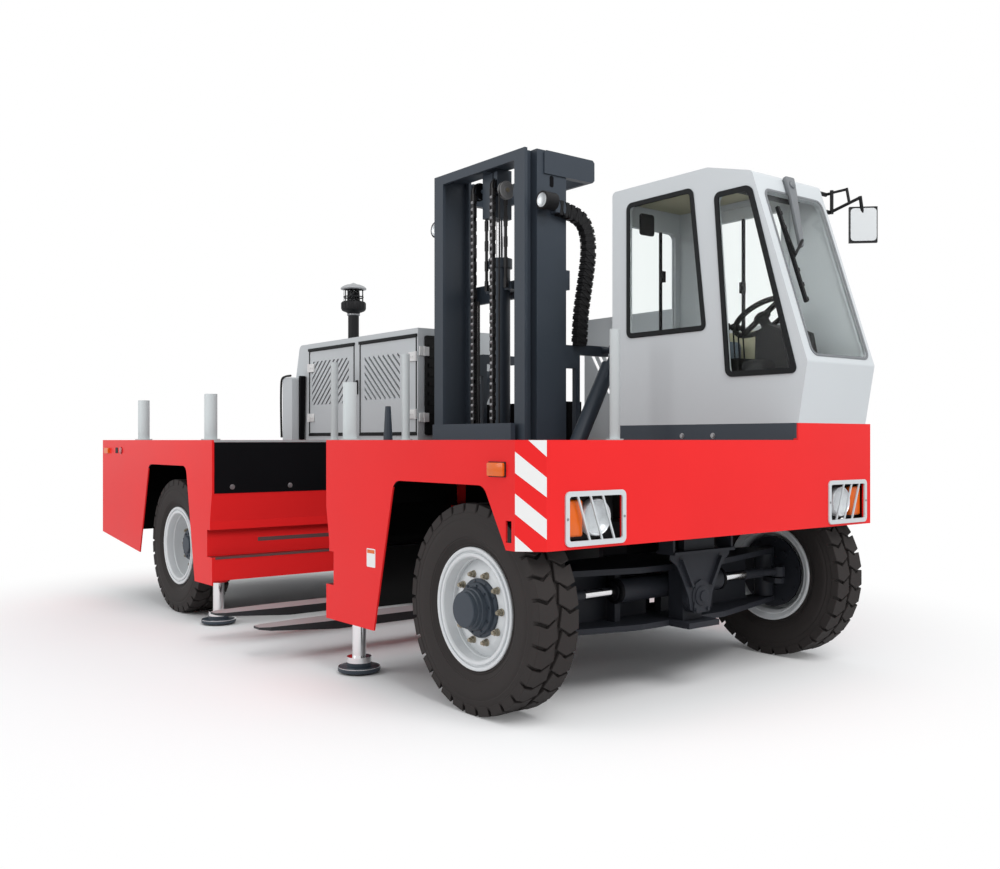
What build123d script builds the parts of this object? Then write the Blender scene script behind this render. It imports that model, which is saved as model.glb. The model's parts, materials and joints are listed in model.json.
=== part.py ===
"""Side loader forklift with a reach carriage, a tilting two-stage mast and a side cab.

Frame: +X is forward (towards the cab), +Y is the side away from the load, +Z is up.
The origin is on the ground under the middle of the whole machine. Units are mm.
"""

import os

from build123d import *

os.makedirs("parts", exist_ok=True)

# Overall body
body_length = 5860.0
body_width = 2650.0
deck_height = 1320.0
nose_bulge = 60.0
fork_overhang = 200.0
mirror_overhang = 200.0
plate = 10.0
fit = 0.3
clear = 5.0

x_front = (body_length - nose_bulge) / 2
x_rear = x_front - body_length
y_load = -(body_width + fork_overhang + mirror_overhang) / 2 + fork_overhang
y_far = y_load + body_width
y_mid = (y_load + y_far) / 2
deck_under = deck_height - plate

# Wheels and axles
wheelbase = 3780.0
front_overhang = 520.0
tyre_radius = 509.0
tyre_width = 250.0
rim_flange_radius = 297.0
rim_seat_radius = 254.0
rim_inner_radius = 236.0
rim_width = 216.0
wheel_inset = 62.0
hub_radius = 112.0
x_front_axle = x_front - front_overhang
x_rear_axle = x_front_axle - wheelbase
track_half = body_width / 2 - wheel_inset - tyre_width / 2
king_pin_inset = 145.0
king_half = track_half - king_pin_inset

# Well between the two decks
well_front = 1815.0
well_length = 1640.0
x_well_front = x_front - well_front
x_well_rear = x_well_front - well_length
x_mast = (x_well_front + x_well_rear) / 2
wall = 12.0
rail_depth = 85.0
wall_break_z = 941.0
wall_slope_z = 746.0
wall_slope = 35.0
rail_low = 496.0
rail_high = 686.0
rail_back = 14.0
well_wall_bottom = 329.0
spine_depth = 365.0
y_spine = y_far - spine_depth

# Side skirts
leg_bottom = 300.0
bumper_bottom = 825.0
front_arch_front = 165.0
front_arch_top_front = 330.0
front_arch_top = 1110.0
front_arch_top_rear = 1098.0
front_leg_front = 1296.0
rear_leg_rear = 313.0
rear_arch_top_front = 477.0
rear_arch_top_rear = 1253.0
rear_arch_rear = 1460.0
rear_arch_top = 1129.0
rear_skirt_low = 412.0
rear_skirt_end = 515.0
corner_cut = 100.0
bumper_rise = 95.0
arch_corner = 70.0
lip = 40.0

# Front lamps in the bumper: (name, centre from the loading side, width, height)
lamp_table = [("near", 397.5, 382.0, 250.0), ("far", 2411.5, 382.0, 250.0)]
lamp_centre_z = 963.0
lamp_rim = 24.0

# Cab
cab_inset = 1939.0
cab_width = 659.0
cab_wall = 38.0
cab_rear_setback = 1455.0
cab_bulge_z = 1756.0
cab_screen_top_z = 2878.0
cab_screen_top_setback = 317.0
cab_roof_z = 2962.0
cab_roof_break_setback = 647.0
cab_corner = 32.0
glass = 6.0
y_cab = y_load + cab_inset
y_cab_far = y_cab + cab_width
x_cab_rear = x_front - cab_rear_setback
cab_bottom = deck_height + bumper_rise

# Engine hood on the rear deck
hood_inset = 1861.0
hood_top = 2250.0
hood_front_setback = 197.0
hood_slope_run = 100.0
hood_slope_drop = 390.0
hood_wall = 30.0
y_hood = y_load + hood_inset
x_hood_front = x_well_rear - hood_front_setback
x_hood_rear = x_rear + 20.0
hood_door_thickness = 24.0
hood_door_low = deck_height + 60.0
hood_door_high = hood_top - 70.0

# Mast
mast_half = 573.0
channel_flange = 65.0
channel_depth = 275.0
channel_web = 20.0
channel_flange_thickness = 25.0
nest_gap = 6.0
mast_lead = 95.0
mast_inset = 1704.0
mast_bottom = 230.0
mast_top = 3367.0
y_inner = y_load + mast_inset
y_outer = y_inner + mast_lead
y_outer_back = y_outer + channel_depth
pivot_y = y_outer_back - 14.0
pivot_z = 380.0
pivot_radius = 60.0
tie_height = 165.0
tie_reach = 544.0
tie_corner = 18.0
tie_step = 12.0

# Lift cylinder and chains
lift_radius = 75.0
lift_wall = 14.0
lift_rod_radius = 30.0
lift_top = 2680.0
lift_collar_z = 2468.0
chain_offset = 116.0
chain_setback = 55.0
sheave_radius = 62.0
sheave_z = 3190.0

# Tilt cylinders
tilt_x_offset = 695.0
tilt_base_y = 400.0
tilt_base_z = 680.0
tilt_eye_y = 1125.0
tilt_eye_z = 1980.0
tilt_radius = 58.0
tilt_rod_radius = 28.0

# Forks
fork_spacing = 650.0
fork_width = 200.0
fork_thickness = 55.0
fork_top = 200.0
fork_shank_top = 1310.0
carriage_plate = 40.0

# Jacks: (name, x centre)
jack_setback = 165.0
jack_inset = 120.0
jack_rod_radius = 40.0
jack_tube_radius = 62.0
jack_pad_radius = 118.0
jack_float = 12.0
jack_table = [
    ("front", x_well_front + jack_setback),
    ("rear", x_well_rear - jack_setback),
]
y_jack = y_load + jack_inset


def box(x, y, z, mode=Mode.ADD):
    """A block between (low, high) pairs."""
    with BuildSketch(Plane.XY.offset(z[0])) as face:
        with Locations(((x[0] + x[1]) / 2, (y[0] + y[1]) / 2)):
            Rectangle(x[1] - x[0], y[1] - y[0])
    extrude(face.sketch, amount=z[1] - z[0], mode=mode)


def side_profile(points, y, mode=Mode.ADD, rounds=()):
    """An outline of (x, z) points, as thick as the (low, high) pair y.

    Corners listed in rounds as (index, radius) are made round.
    """
    with BuildSketch(Plane(origin=(0, y[1], 0), x_dir=(1, 0, 0), z_dir=(0, -1, 0))) as face:
        with BuildLine():
            Polyline(*points, close=True)
        make_face()
        for index, radius in rounds:
            corner = Vector(*points[index])
            fillet(face.vertices().sort_by_distance(corner)[0], radius)
    extrude(face.sketch, amount=y[1] - y[0], mode=mode)


def cross_profile(points, x, mode=Mode.ADD):
    """An outline of (y, z) points, as thick as the (low, high) pair x."""
    with BuildSketch(Plane(origin=(x[0], 0, 0), x_dir=(0, 1, 0), z_dir=(1, 0, 0))) as face:
        with BuildLine():
            Polyline(*points, close=True)
        make_face()
    extrude(face.sketch, amount=x[1] - x[0], mode=mode)


def plan_profile(points, z, mode=Mode.ADD):
    """An outline of (x, y) points, as thick as the (low, high) pair z."""
    with BuildSketch(Plane.XY.offset(z[0])) as face:
        with BuildLine():
            Polyline(*points, close=True)
        make_face()
    extrude(face.sketch, amount=z[1] - z[0], mode=mode)


def bar(start, end, radius, mode=Mode.ADD):
    """A round bar from one point to another."""
    run = Vector(*end) - Vector(*start)
    with BuildSketch(Plane(origin=start, z_dir=run)) as face:
        Circle(radius)
    extrude(face.sketch, amount=run.length, mode=mode)


def write(piece, name):
    """Labels a finished piece and writes its file."""
    piece.part.label = name
    export_step(piece.part, f"parts/{name}.step")



# Front and rear decks: (name, direction of the deck from the well, well edge, outer end)
front_arch = [
    (x_front - front_arch_front, bumper_bottom),
    (x_front - front_arch_top_front, front_arch_top),
    (x_front - front_arch_top_rear, front_arch_top),
    (x_front - front_leg_front, leg_bottom),
]
rear_arch = [
    (x_well_rear - rear_leg_rear, leg_bottom),
    (x_well_rear - rear_arch_top_front, rear_arch_top),
    (x_well_rear - rear_arch_top_rear, rear_arch_top),
    (x_well_rear - rear_arch_rear, rear_skirt_low),
]
front_skirt = [
    (x_well_front, deck_under),
    (x_well_front, wall_break_z),
    (x_well_front + wall_slope, wall_slope_z),
    (x_well_front + wall_slope, rail_high),
    (x_well_front + rail_depth, rail_high),
    (x_well_front + rail_depth, rail_low),
    (x_well_front, rail_low),
    (x_well_front, leg_bottom),
    front_arch[3],
    front_arch[2],
    front_arch[1],
    front_arch[0],
    (x_front - corner_cut, bumper_bottom),
    (x_front - corner_cut, deck_under),
]
rear_skirt = [
    (x_well_rear, deck_under),
    (x_well_rear, wall_break_z),
    (x_well_rear - wall_slope, wall_slope_z),
    (x_well_rear - wall_slope, rail_high),
    (x_well_rear - rail_depth, rail_high),
    (x_well_rear - rail_depth, rail_low),
    (x_well_rear, rail_low),
    (x_well_rear, leg_bottom),
    rear_arch[0],
    rear_arch[1],
    rear_arch[2],
    rear_arch[3],
    (x_rear + plate, rear_skirt_end),
    (x_rear + plate, deck_under),
]
skirt_sides = [(y_load, y_load + plate), (y_far - plate, y_far)]
arch_rounds = [(9, arch_corner), (10, arch_corner)]


def arch_lip(arch, side):
    """The folded lip that runs round a wheel arch, inside one skirt."""
    inward = 1 if side[0] < y_mid else -1
    face = side[1] if inward > 0 else side[0]
    span = (face, face + lip) if inward > 0 else (face - lip, face)
    top_low = arch[1][1]
    low_x, high_x = sorted((arch[1][0], arch[2][0]))
    box((low_x + arch_corner, high_x - arch_corner), span, (top_low, top_low + plate))


with BuildPart() as front_body:
    box((x_well_front, x_front - corner_cut), (y_load, y_far), (deck_under, deck_height))
    plan_profile(
        [
            (x_front - corner_cut, y_load),
            (x_front, y_load + corner_cut),
            (x_front, y_far),
            (x_front - corner_cut, y_far),
        ],
        (deck_under, deck_height),
    )
    for side in skirt_sides:
        side_profile(front_skirt, side, rounds=arch_rounds)
        arch_lip(front_arch, side)
    box(
        (x_front - corner_cut, x_front - plate),
        (y_far - plate, y_far),
        (bumper_bottom, deck_under),
    )
    # Bumper face, its cut corner and the rise before the cab
    box((x_front - plate, x_front), (y_load + corner_cut, y_far), (bumper_bottom, deck_under))
    plan_profile(
        [
            (x_front - corner_cut, y_load),
            (x_front, y_load + corner_cut),
            (x_front - plate, y_load + corner_cut),
            (x_front - corner_cut, y_load + plate),
        ],
        (bumper_bottom, deck_under),
    )
    box((x_front - plate, x_front), (y_cab, y_far), (deck_height, cab_bottom))
    box(
        (x_front - 3 * plate, x_front - plate),
        (y_cab, y_far),
        (deck_height, deck_height + plate),
    )
    for name, centre, width, height in lamp_table:
        middle = y_load + centre
        box(
            (x_front - 2 * plate, x_front + plate),
            (middle - width / 2 + lamp_rim, middle + width / 2 - lamp_rim),
            (lamp_centre_z - height / 2 + lamp_rim, lamp_centre_z + height / 2 - lamp_rim),
            mode=Mode.SUBTRACT,
        )
    # Slot in the side skirt before the wheel arch
    box((x_front - 166, x_front - 125), (y_load - 1, y_load + plate + 1), (860, 958), mode=Mode.SUBTRACT)
    # Tube that guides the jack
    bar((jack_table[0][1], y_jack, leg_bottom), (jack_table[0][1], y_jack, deck_under), jack_tube_radius)
    bar(
        (jack_table[0][1], y_jack, leg_bottom - plate),
        (jack_table[0][1], y_jack, deck_under - 2 * plate),
        jack_rod_radius + 1,
        mode=Mode.SUBTRACT,
    )
write(front_body, "front_body")

with BuildPart() as rear_body:
    box((x_rear, x_well_rear), (y_load, y_far), (deck_under, deck_height))
    for side in skirt_sides:
        side_profile(rear_skirt, side, rounds=arch_rounds)
        arch_lip(rear_arch, side)
    box((x_rear, x_rear + plate), (y_load, y_far), (rear_skirt_end, deck_under))
    bar((jack_table[1][1], y_jack, leg_bottom), (jack_table[1][1], y_jack, deck_under), jack_tube_radius)
    bar(
        (jack_table[1][1], y_jack, leg_bottom - plate),
        (jack_table[1][1], y_jack, deck_under - 2 * plate),
        jack_rod_radius + 1,
        mode=Mode.SUBTRACT,
    )
write(rear_body, "rear_body")

# Main frame: (well edge, direction away from the well, far end of the long beams)
beam_half = 400.0
beam_width = 120.0
beam_low = 900.0
beam_web = 14.0
frame_table = [
    (x_well_front, 1, x_front - plate),
    (x_well_rear, -1, x_rear + plate),
]
y_inside = (y_load + plate, y_far - plate)

with BuildPart() as chassis_frame:
    for edge, way, end in frame_table:
        upper = sorted((edge, edge + way * wall))
        back = sorted((edge + way * rail_depth, edge + way * (rail_depth + rail_back)))
        shelf = sorted((edge, edge + way * (rail_depth + rail_back)))
        slope = edge + way * wall_slope
        side_profile(
            [
                (edge, wall_break_z),
                (slope, wall_slope_z),
                (slope, rail_high),
                (slope + way * wall, rail_high),
                (slope + way * wall, wall_slope_z),
                (edge + way * wall, wall_break_z),
            ],
            y_inside,
        )
        for x, z in [
            (upper, (wall_break_z, deck_under)),
            (sorted((slope, edge + way * (rail_depth + rail_back))), (rail_high, rail_high + wall)),
            (back, (rail_low, rail_high)),
            (shelf, (rail_low - wall, rail_low)),
            (upper, (well_wall_bottom, rail_low)),
        ]:
            box(x, y_inside, z)
        for middle in (-beam_half, beam_half):
            span = sorted((edge + way * wall, end))
            for low, high in [(beam_low, beam_low + beam_web), (deck_under - beam_web, deck_under)]:
                box(span, (middle - beam_width / 2, middle + beam_width / 2), (low, high))
            box(span, (middle - beam_web / 2, middle + beam_web / 2), (beam_low, deck_under))
    # Spine along the far side of the well
    spine_x = (x_well_rear, x_well_front)
    box(spine_x, (y_far - plate, y_far), (well_wall_bottom, deck_under))
    box(spine_x, (y_spine, y_spine + plate), (well_wall_bottom, deck_under))
    box(spine_x, (y_spine, y_far), (deck_under, deck_height))
    box(spine_x, (y_spine + plate, y_far - plate), (well_wall_bottom, well_wall_bottom + plate))
    for edge, way, end in frame_table:
        cap = tuple(sorted((edge, edge - way * wall)))
        box(cap, (y_spine, y_far), (well_wall_bottom, deck_height))
write(chassis_frame, "chassis_frame")

# Front axle: two shaped plates with the steering cylinder between them
axle_low = (335.0, 365.0)
axle_high = (630.0, 660.0)
axle_end = 62.0
axle_middle = 235.0
axle_middle_half = 330.0
king_radius = 32.0
pivot_bracket_x = (x_front_axle + 300.0, x_front_axle + 340.0)
pivot_pin_z = (axle_low[0] + axle_high[1]) / 2
pivot_pin_radius = 45.0
steer_x = x_front_axle + 121.0
steer_z = 532.0
steer_barrel_radius = 62.0
steer_barrel_half = 410.0
steer_rod_radius = 26.0


def axle_plate(z):
    """One plate of the steered axle, wide in the middle and round at the king pins."""
    points = []
    for sign_x, sign_y in [(1, -1), (1, 1), (-1, 1), (-1, -1)]:
        corner = [
            (x_front_axle + sign_x * axle_middle, y_mid + sign_y * axle_middle_half),
            (x_front_axle + sign_x * axle_end, y_mid + sign_y * king_half),
        ]
        points += corner if sign_x * sign_y > 0 else corner[::-1]
    plan_profile(points, z)
    for side in (-1, 1):
        bar((x_front_axle, y_mid + side * king_half, z[0]), (x_front_axle, y_mid + side * king_half, z[1]), axle_end)


with BuildPart() as front_axle:
    axle_plate(axle_low)
    axle_plate(axle_high)
    for side in (-1, 1):
        box(
            (x_front_axle - 40, x_front_axle + 10),
            tuple(sorted((y_mid + side * 60, y_mid + side * (king_half - 190)))),
            (axle_low[1], axle_high[0]),
        )
        bar(
            (x_front_axle, y_mid + side * king_half, axle_low[0]),
            (x_front_axle, y_mid + side * king_half, axle_high[1]),
            king_radius,
        )
    # Nose of the lower plate, below the front hanger
    box((x_front_axle + 200, x_front_axle + 375), (y_mid - 120, y_mid + 120), axle_low)
    # Pivot trunk in the middle, along the machine
    box((x_front_axle - 280, x_front_axle - 90), (y_mid - 75, y_mid + 75), axle_low[:1] + axle_high[1:])
    bar(
        (x_front_axle - 330, y_mid, pivot_pin_z),
        (x_front_axle - 90, y_mid, pivot_pin_z),
        pivot_pin_radius,
    )
    box((x_front_axle + 190, x_front_axle + 290), (y_mid - 75, y_mid + 75), axle_low[:1] + axle_high[1:])
    bar(
        (x_front_axle + 190, y_mid, pivot_pin_z),
        (x_front_axle + 360, y_mid, pivot_pin_z),
        pivot_pin_radius,
    )
write(front_axle, "front_axle")

# Hangers that carry the axle's pivot pin: (x low, x high)
hanger_table = [pivot_bracket_x, (x_front_axle - 325.0, x_front_axle - 290.0)]
hanger_half = 238.0
hanger_plate_z = (727.0, 742.0)
hanger_neck_half = 95.0
hanger_gusset = 16.0
with BuildPart() as axle_hangers:
    for x in hanger_table:
        box(x, (y_mid - hanger_neck_half, y_mid + hanger_neck_half), (pivot_pin_z, hanger_plate_z[0]))
        bar((x[0], y_mid, pivot_pin_z), (x[1], y_mid, pivot_pin_z), hanger_neck_half)
        bar(
            (x[0] - 1, y_mid, pivot_pin_z),
            (x[1] + 1, y_mid, pivot_pin_z),
            pivot_pin_radius,
            mode=Mode.SUBTRACT,
        )
        box((x[0] - 45, x[1] + 45), (y_mid - hanger_half, y_mid + hanger_half), hanger_plate_z)
        box(x, (y_mid - 120, y_mid + 120), (hanger_plate_z[1], beam_low - 30))
        for side in (-1, 1):
            gusset = sorted((y_mid + side * hanger_half, y_mid + side * (hanger_half - hanger_gusset)))
            box((x[0] - 30, x[1] + 30), tuple(gusset), (hanger_plate_z[1], beam_low - 30))
        box(
            (x[0] - 40, x[1] + 40),
            (y_mid - beam_half - beam_width / 2, y_mid + beam_half + beam_width / 2),
            (beam_low - 30, beam_low),
        )
write(axle_hangers, "axle_hangers")

with BuildPart() as steering_barrel:
    bar(
        (steer_x, y_mid - steer_barrel_half, steer_z),
        (steer_x, y_mid + steer_barrel_half, steer_z),
        steer_barrel_radius,
    )
    for side in (-1, 1):
        face = y_mid + side * (steer_barrel_half - 60)
        low, high = sorted((face, face + side * 40))
        box((steer_x - 80, steer_x - 20), (low, high), (axle_low[1], axle_high[0]))
    bar(
        (steer_x, y_mid - steer_barrel_half - 1, steer_z),
        (steer_x, y_mid + steer_barrel_half + 1, steer_z),
        steer_rod_radius + fit,
        mode=Mode.SUBTRACT,
    )
write(steering_barrel, "steering_barrel")

arm_reach = 150.0
arm_z = (462.0, 492.0)
with BuildPart() as steering_rod:
    rod_half = king_half - 200
    bar((steer_x, y_mid - rod_half, steer_z), (steer_x, y_mid + rod_half, steer_z), steer_rod_radius)
    for side in (-1, 1):
        bar(
            (steer_x, y_mid + side * rod_half, steer_z),
            (steer_x + arm_reach - 121, y_mid + side * (king_half - 60), steer_z),
            20,
        )
        bar(
            (steer_x + arm_reach - 121, y_mid + side * (king_half - 60), steer_z - 26),
            (steer_x + arm_reach - 121, y_mid + side * (king_half - 60), steer_z + 26),
            38,
        )
write(steering_rod, "steering_rod")

# Knuckles: (name, side)
knuckle_table = [("right", -1), ("left", 1)]
disc_offset = 60.0
front_hub_out = 130.0
rear_disc_offset = -30.0
rear_hub_out = 90.0
hub_cap = 30.0
hub_bore_radius = 52.0
brake_radius = 215.0
front_brake_in = (75.0, 63.0)
rear_brake_in = (108.0, 96.0)
for name, side in knuckle_table:
    y_king = y_mid + side * king_half
    with BuildPart() as knuckle:
        bar(
            (x_front_axle, y_king, axle_low[1] + clear),
            (x_front_axle, y_king, axle_high[0] - clear),
            58,
        )
        bar(
            (x_front_axle, y_king, tyre_radius),
            (x_front_axle, y_mid + side * (track_half + disc_offset + front_hub_out - hub_cap - fit), tyre_radius),
            hub_bore_radius - fit,
        )
        bar(
            (x_front_axle, y_mid + side * (track_half - front_brake_in[0]), tyre_radius),
            (x_front_axle, y_mid + side * (track_half - front_brake_in[1]), tyre_radius),
            brake_radius,
        )
        plan_profile(
            [
                (x_front_axle + 20, y_king - 45),
                (x_front_axle + arm_reach, y_king - side * 60 - 32),
                (x_front_axle + arm_reach + 30, y_king - side * 60 - 10),
                (x_front_axle + arm_reach + 30, y_king - side * 60 + 20),
                (x_front_axle + arm_reach, y_king - side * 60 + 32),
                (x_front_axle + 20, y_king + 45),
            ],
            arm_z,
        )
        bar(
            (x_front_axle, y_king, axle_low[0] - 1),
            (x_front_axle, y_king, axle_high[1] + 1),
            king_radius + fit,
            mode=Mode.SUBTRACT,
        )
    write(knuckle, f"knuckle_{name}")

# Rear axle: tubes, the round housing in the middle and the pads that carry the frame
with BuildPart() as rear_axle:
    bar(
        (x_rear_axle, y_mid - track_half + 70, tyre_radius),
        (x_rear_axle, y_mid + track_half - 70, tyre_radius),
        72,
    )
    spindle_half = track_half + rear_disc_offset + rear_hub_out - hub_cap - fit
    bar(
        (x_rear_axle, y_mid - spindle_half, tyre_radius),
        (x_rear_axle, y_mid + spindle_half, tyre_radius),
        hub_bore_radius - fit,
    )
    with Locations((x_rear_axle, y_mid, tyre_radius)):
        Sphere(215)
    bar((x_rear_axle, y_mid, tyre_radius), (x_rear_axle + 300, y_mid, tyre_radius), 95)
    for side in (-1, 1):
        y = y_mid + side * beam_half
        box((x_rear_axle - 110, x_rear_axle + 110), (y - 55, y + 55), (tyre_radius + 60, beam_low))
        bar(
            (x_rear_axle, y_mid + side * (track_half - rear_brake_in[0]), tyre_radius),
            (x_rear_axle, y_mid + side * (track_half - rear_brake_in[1]), tyre_radius),
            brake_radius,
        )
write(rear_axle, "rear_axle")

# Wheels: (name, x, side, disc offset outward, hub length outward)
wheel_table = [
    ("front_right", x_front_axle, -1, disc_offset, front_hub_out),
    ("front_left", x_front_axle, 1, disc_offset, front_hub_out),
    ("rear_right", x_rear_axle, -1, rear_disc_offset, rear_hub_out),
    ("rear_left", x_rear_axle, 1, rear_disc_offset, rear_hub_out),
]
disc_thickness = 16.0
tyre_sides = 28
tyre_half = tyre_width / 2
# Tyre outline: (station across the wheel, radius)
tyre_outline = [
    (-rim_width / 2 - 1, rim_flange_radius + 15),
    (-tyre_half + 8, rim_flange_radius + 40),
    (-tyre_half, 400),
    (-tyre_half + 6, tyre_radius - 40),
    (-tyre_half + 22, tyre_radius),
    (tyre_half - 22, tyre_radius),
    (tyre_half - 6, tyre_radius - 40),
    (tyre_half, 400),
    (tyre_half - 8, rim_flange_radius + 40),
    (rim_width / 2 + 1, rim_flange_radius + 15),
]
# Bores of the tyre: (low station, high station, radius)
tyre_bores = [
    (-tyre_half - 1, -rim_width / 2 + 15, rim_flange_radius + fit),
    (-rim_width / 2 + 14, rim_width / 2 - 14, rim_seat_radius + fit),
    (rim_width / 2 - 15, tyre_half + 1, rim_flange_radius + fit),
]


def tyre_station(centre, y):
    """The plane across the wheel at one station."""
    return Plane(origin=(centre[0], centre[1] + y, centre[2]), x_dir=(0, 0, 1), z_dir=(0, 1, 0))


for name, x, side, offset_out, hub_out in wheel_table:
    y_wheel = y_mid + side * track_half
    centre = (x, y_wheel, tyre_radius)
    section = Plane(origin=centre, x_dir=(0, 1, 0), z_dir=(1, 0, 0))
    spin = Axis(centre, (0, 1, 0))
    with BuildPart() as rim:
        with BuildSketch(section):
            with BuildLine():
                Polyline(
                    (-rim_width / 2, rim_inner_radius),
                    (-rim_width / 2, rim_flange_radius),
                    (-rim_width / 2 + 12, rim_flange_radius),
                    (-rim_width / 2 + 14, rim_seat_radius),
                    (rim_width / 2 - 14, rim_seat_radius),
                    (rim_width / 2 - 12, rim_flange_radius),
                    (rim_width / 2, rim_flange_radius),
                    (rim_width / 2, rim_inner_radius),
                    close=True,
                )
            make_face()
        revolve(axis=spin)
        disc_y = side * offset_out
        with BuildSketch(section):
            with BuildLine():
                Polyline(
                    (disc_y - side * disc_thickness, hub_bore_radius),
                    (disc_y - side * disc_thickness, 175),
                    (disc_y - side * (disc_thickness + 34), rim_inner_radius),
                    (disc_y - side * 34, rim_inner_radius),
                    (disc_y, 175),
                    (disc_y, hub_radius),
                    (disc_y + side * 40, hub_radius),
                    (disc_y + side * (hub_out - 25), hub_radius - 14),
                    (disc_y + side * hub_out, hub_radius - 40),
                    (disc_y + side * hub_out, 0),
                    (disc_y + side * (hub_out - hub_cap), 0),
                    (disc_y + side * (hub_out - hub_cap), hub_bore_radius),
                    close=True,
                )
            make_face()
        revolve(axis=spin)
    write(rim, f"rim_{name}")
    with BuildPart() as tyre:
        for (y_low, r_low), (y_high, r_high) in zip(tyre_outline, tyre_outline[1:]):
            with BuildSketch(tyre_station(centre, y_low)) as first:
                RegularPolygon(r_low, tyre_sides)
            with BuildSketch(tyre_station(centre, y_high)) as second:
                RegularPolygon(r_high, tyre_sides)
            loft([first.sketch, second.sketch], ruled=True)
        for y_low, y_high, bore in tyre_bores:
            with BuildSketch(tyre_station(centre, y_low)) as hole:
                RegularPolygon(bore, tyre_sides, major_radius=False)
            extrude(hole.sketch, amount=y_high - y_low, mode=Mode.SUBTRACT)
    write(tyre, f"tyre_{name}")

# Cab shell: the side outline runs from the rear foot round the roof to the nose
cab_outline = [
    (x_cab_rear, cab_bottom),
    (x_cab_rear, cab_roof_z),
    (x_front - cab_roof_break_setback, cab_roof_z),
    (x_front - cab_screen_top_setback, cab_screen_top_z),
    (x_front + nose_bulge, cab_bulge_z),
    (x_front, cab_bottom),
]


def inset(points, amount):
    """The same closed outline, moved inward all round (the points run clockwise)."""
    count = len(points)
    moved = []
    for i in range(count):
        before, here, after = points[i - 1], points[i], points[(i + 1) % count]
        a = (Vector(*here) - Vector(*before)).normalized()
        b = (Vector(*after) - Vector(*here)).normalized()
        normal_a = Vector(a.Y, -a.X)
        normal_b = Vector(b.Y, -b.X)
        bisector = (normal_a + normal_b).normalized()
        step = amount / bisector.dot(normal_a)
        moved.append((here[0] + bisector.X * step, here[1] + bisector.Y * step))
    return moved


cab_inside = inset(cab_outline, cab_wall)
y_cab_in = (y_cab + cab_wall, y_cab_far - cab_wall)
screen_run = Vector(*cab_outline[4]) - Vector(*cab_outline[3])
screen_length = screen_run.length
screen_margin = 45.0
screen_top_extra = 70.0
screen_side_extra = 25.0
side_windows = [
    [(1591, 1993), (1591, 2851), (2132, 2851), (2237, 1993)],
    [(2409, 1703), (2320, 2785), (2570, 2785), (2873, 1760), (2855, 1703)],
]
window_corner = 45.0
rear_window_z = 2300.0
rear_window_height = 900.0
door_low = cab_bottom + 45.0
door_high = cab_roof_z - 110.0
door_rear = x_cab_rear + 250.0
door_front = door_rear + 700.0
screen_plane = Plane(
    origin=(cab_outline[3][0], (y_cab + y_cab_far) / 2, cab_outline[3][1]),
    x_dir=(0, 1, 0),
    z_dir=(-screen_run.Y, 0, screen_run.X),
)


def screen_cut(depth, margin, mode):
    """The windscreen's outline, in the sloping face, cut or filled to a depth."""
    with BuildSketch(screen_plane) as face:
        with Locations((screen_side_extra / 2, -(screen_length + screen_top_extra) / 2)):
            RectangleRounded(
                cab_width - 2 * margin - screen_side_extra,
                screen_length - 2 * margin - screen_top_extra,
                50,
            )
    extrude(face.sketch, amount=-depth, mode=mode)


def rear_window(x, margin, mode):
    """The window in the cab's rear wall."""
    centre = (x[0], (y_cab + y_cab_far) / 2, rear_window_z)
    with BuildSketch(Plane(origin=centre, x_dir=(0, 1, 0), z_dir=(1, 0, 0))) as face:
        RectangleRounded(cab_width - 2 * margin, rear_window_height, window_corner)
    extrude(face.sketch, amount=x[1] - x[0], mode=mode)


with BuildPart() as cab_shell:
    side_profile(cab_outline, (y_cab, y_cab_far), rounds=[(1, cab_corner), (2, 60), (3, 40), (4, 30)])
    side_profile(cab_inside, y_cab_in, mode=Mode.SUBTRACT)
    for window in side_windows:
        rounds = [(i, window_corner) for i in range(len(window))]
        side_profile(window, (y_cab - 1, y_cab + cab_wall + 1), mode=Mode.SUBTRACT, rounds=rounds[:4])
    box((door_rear, door_front), (y_cab_far - cab_wall - 1, y_cab_far + 1), (door_low, door_high), mode=Mode.SUBTRACT)
    screen_cut(cab_wall + 20, screen_margin, Mode.SUBTRACT)
    rear_window((x_cab_rear - 1, x_cab_rear + cab_wall + 1), 80, Mode.SUBTRACT)
write(cab_shell, "cab_shell")

with BuildPart() as cab_base:
    box((x_cab_rear, x_front - 3 * plate - 1), (y_cab, y_cab_far), (deck_height, cab_bottom))
    box((x_cab_rear + 60, x_front - 90), (y_cab + 60, y_cab_far - 60), (deck_height, cab_bottom - 20), mode=Mode.SUBTRACT)
write(cab_base, "cab_base")

glass_setback = 12.0
with BuildPart() as cab_glass:
    for window in side_windows:
        rounds = [(i, window_corner) for i in range(len(window))]
        side_profile(window, (y_cab + glass_setback, y_cab + glass_setback + glass), rounds=rounds[:4])
    rear_window((x_cab_rear + glass_setback, x_cab_rear + glass_setback + glass), 80, Mode.ADD)
    screen_cut(cab_wall / 2, screen_margin, Mode.ADD)
    screen_cut(cab_wall / 2 - glass, screen_margin - 5, Mode.SUBTRACT)
write(cab_glass, "cab_glass")

seat_x = 1800.0
seat_y = (y_cab + y_cab_far) / 2
with BuildPart() as cab_seat:
    box((seat_x - 150, seat_x + 150), (seat_y - 160, seat_y + 160), (cab_bottom + cab_wall, 1780))
    box((seat_x - 240, seat_x + 260), (seat_y - 240, seat_y + 240), (1780, 1900))
    side_profile(
        [(seat_x - 240, 1900), (seat_x - 270, 1990), (seat_x - 160, 2000), (seat_x - 120, 1900)],
        (seat_y - 230, seat_y + 230),
    )
write(cab_seat, "cab_seat")

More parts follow.
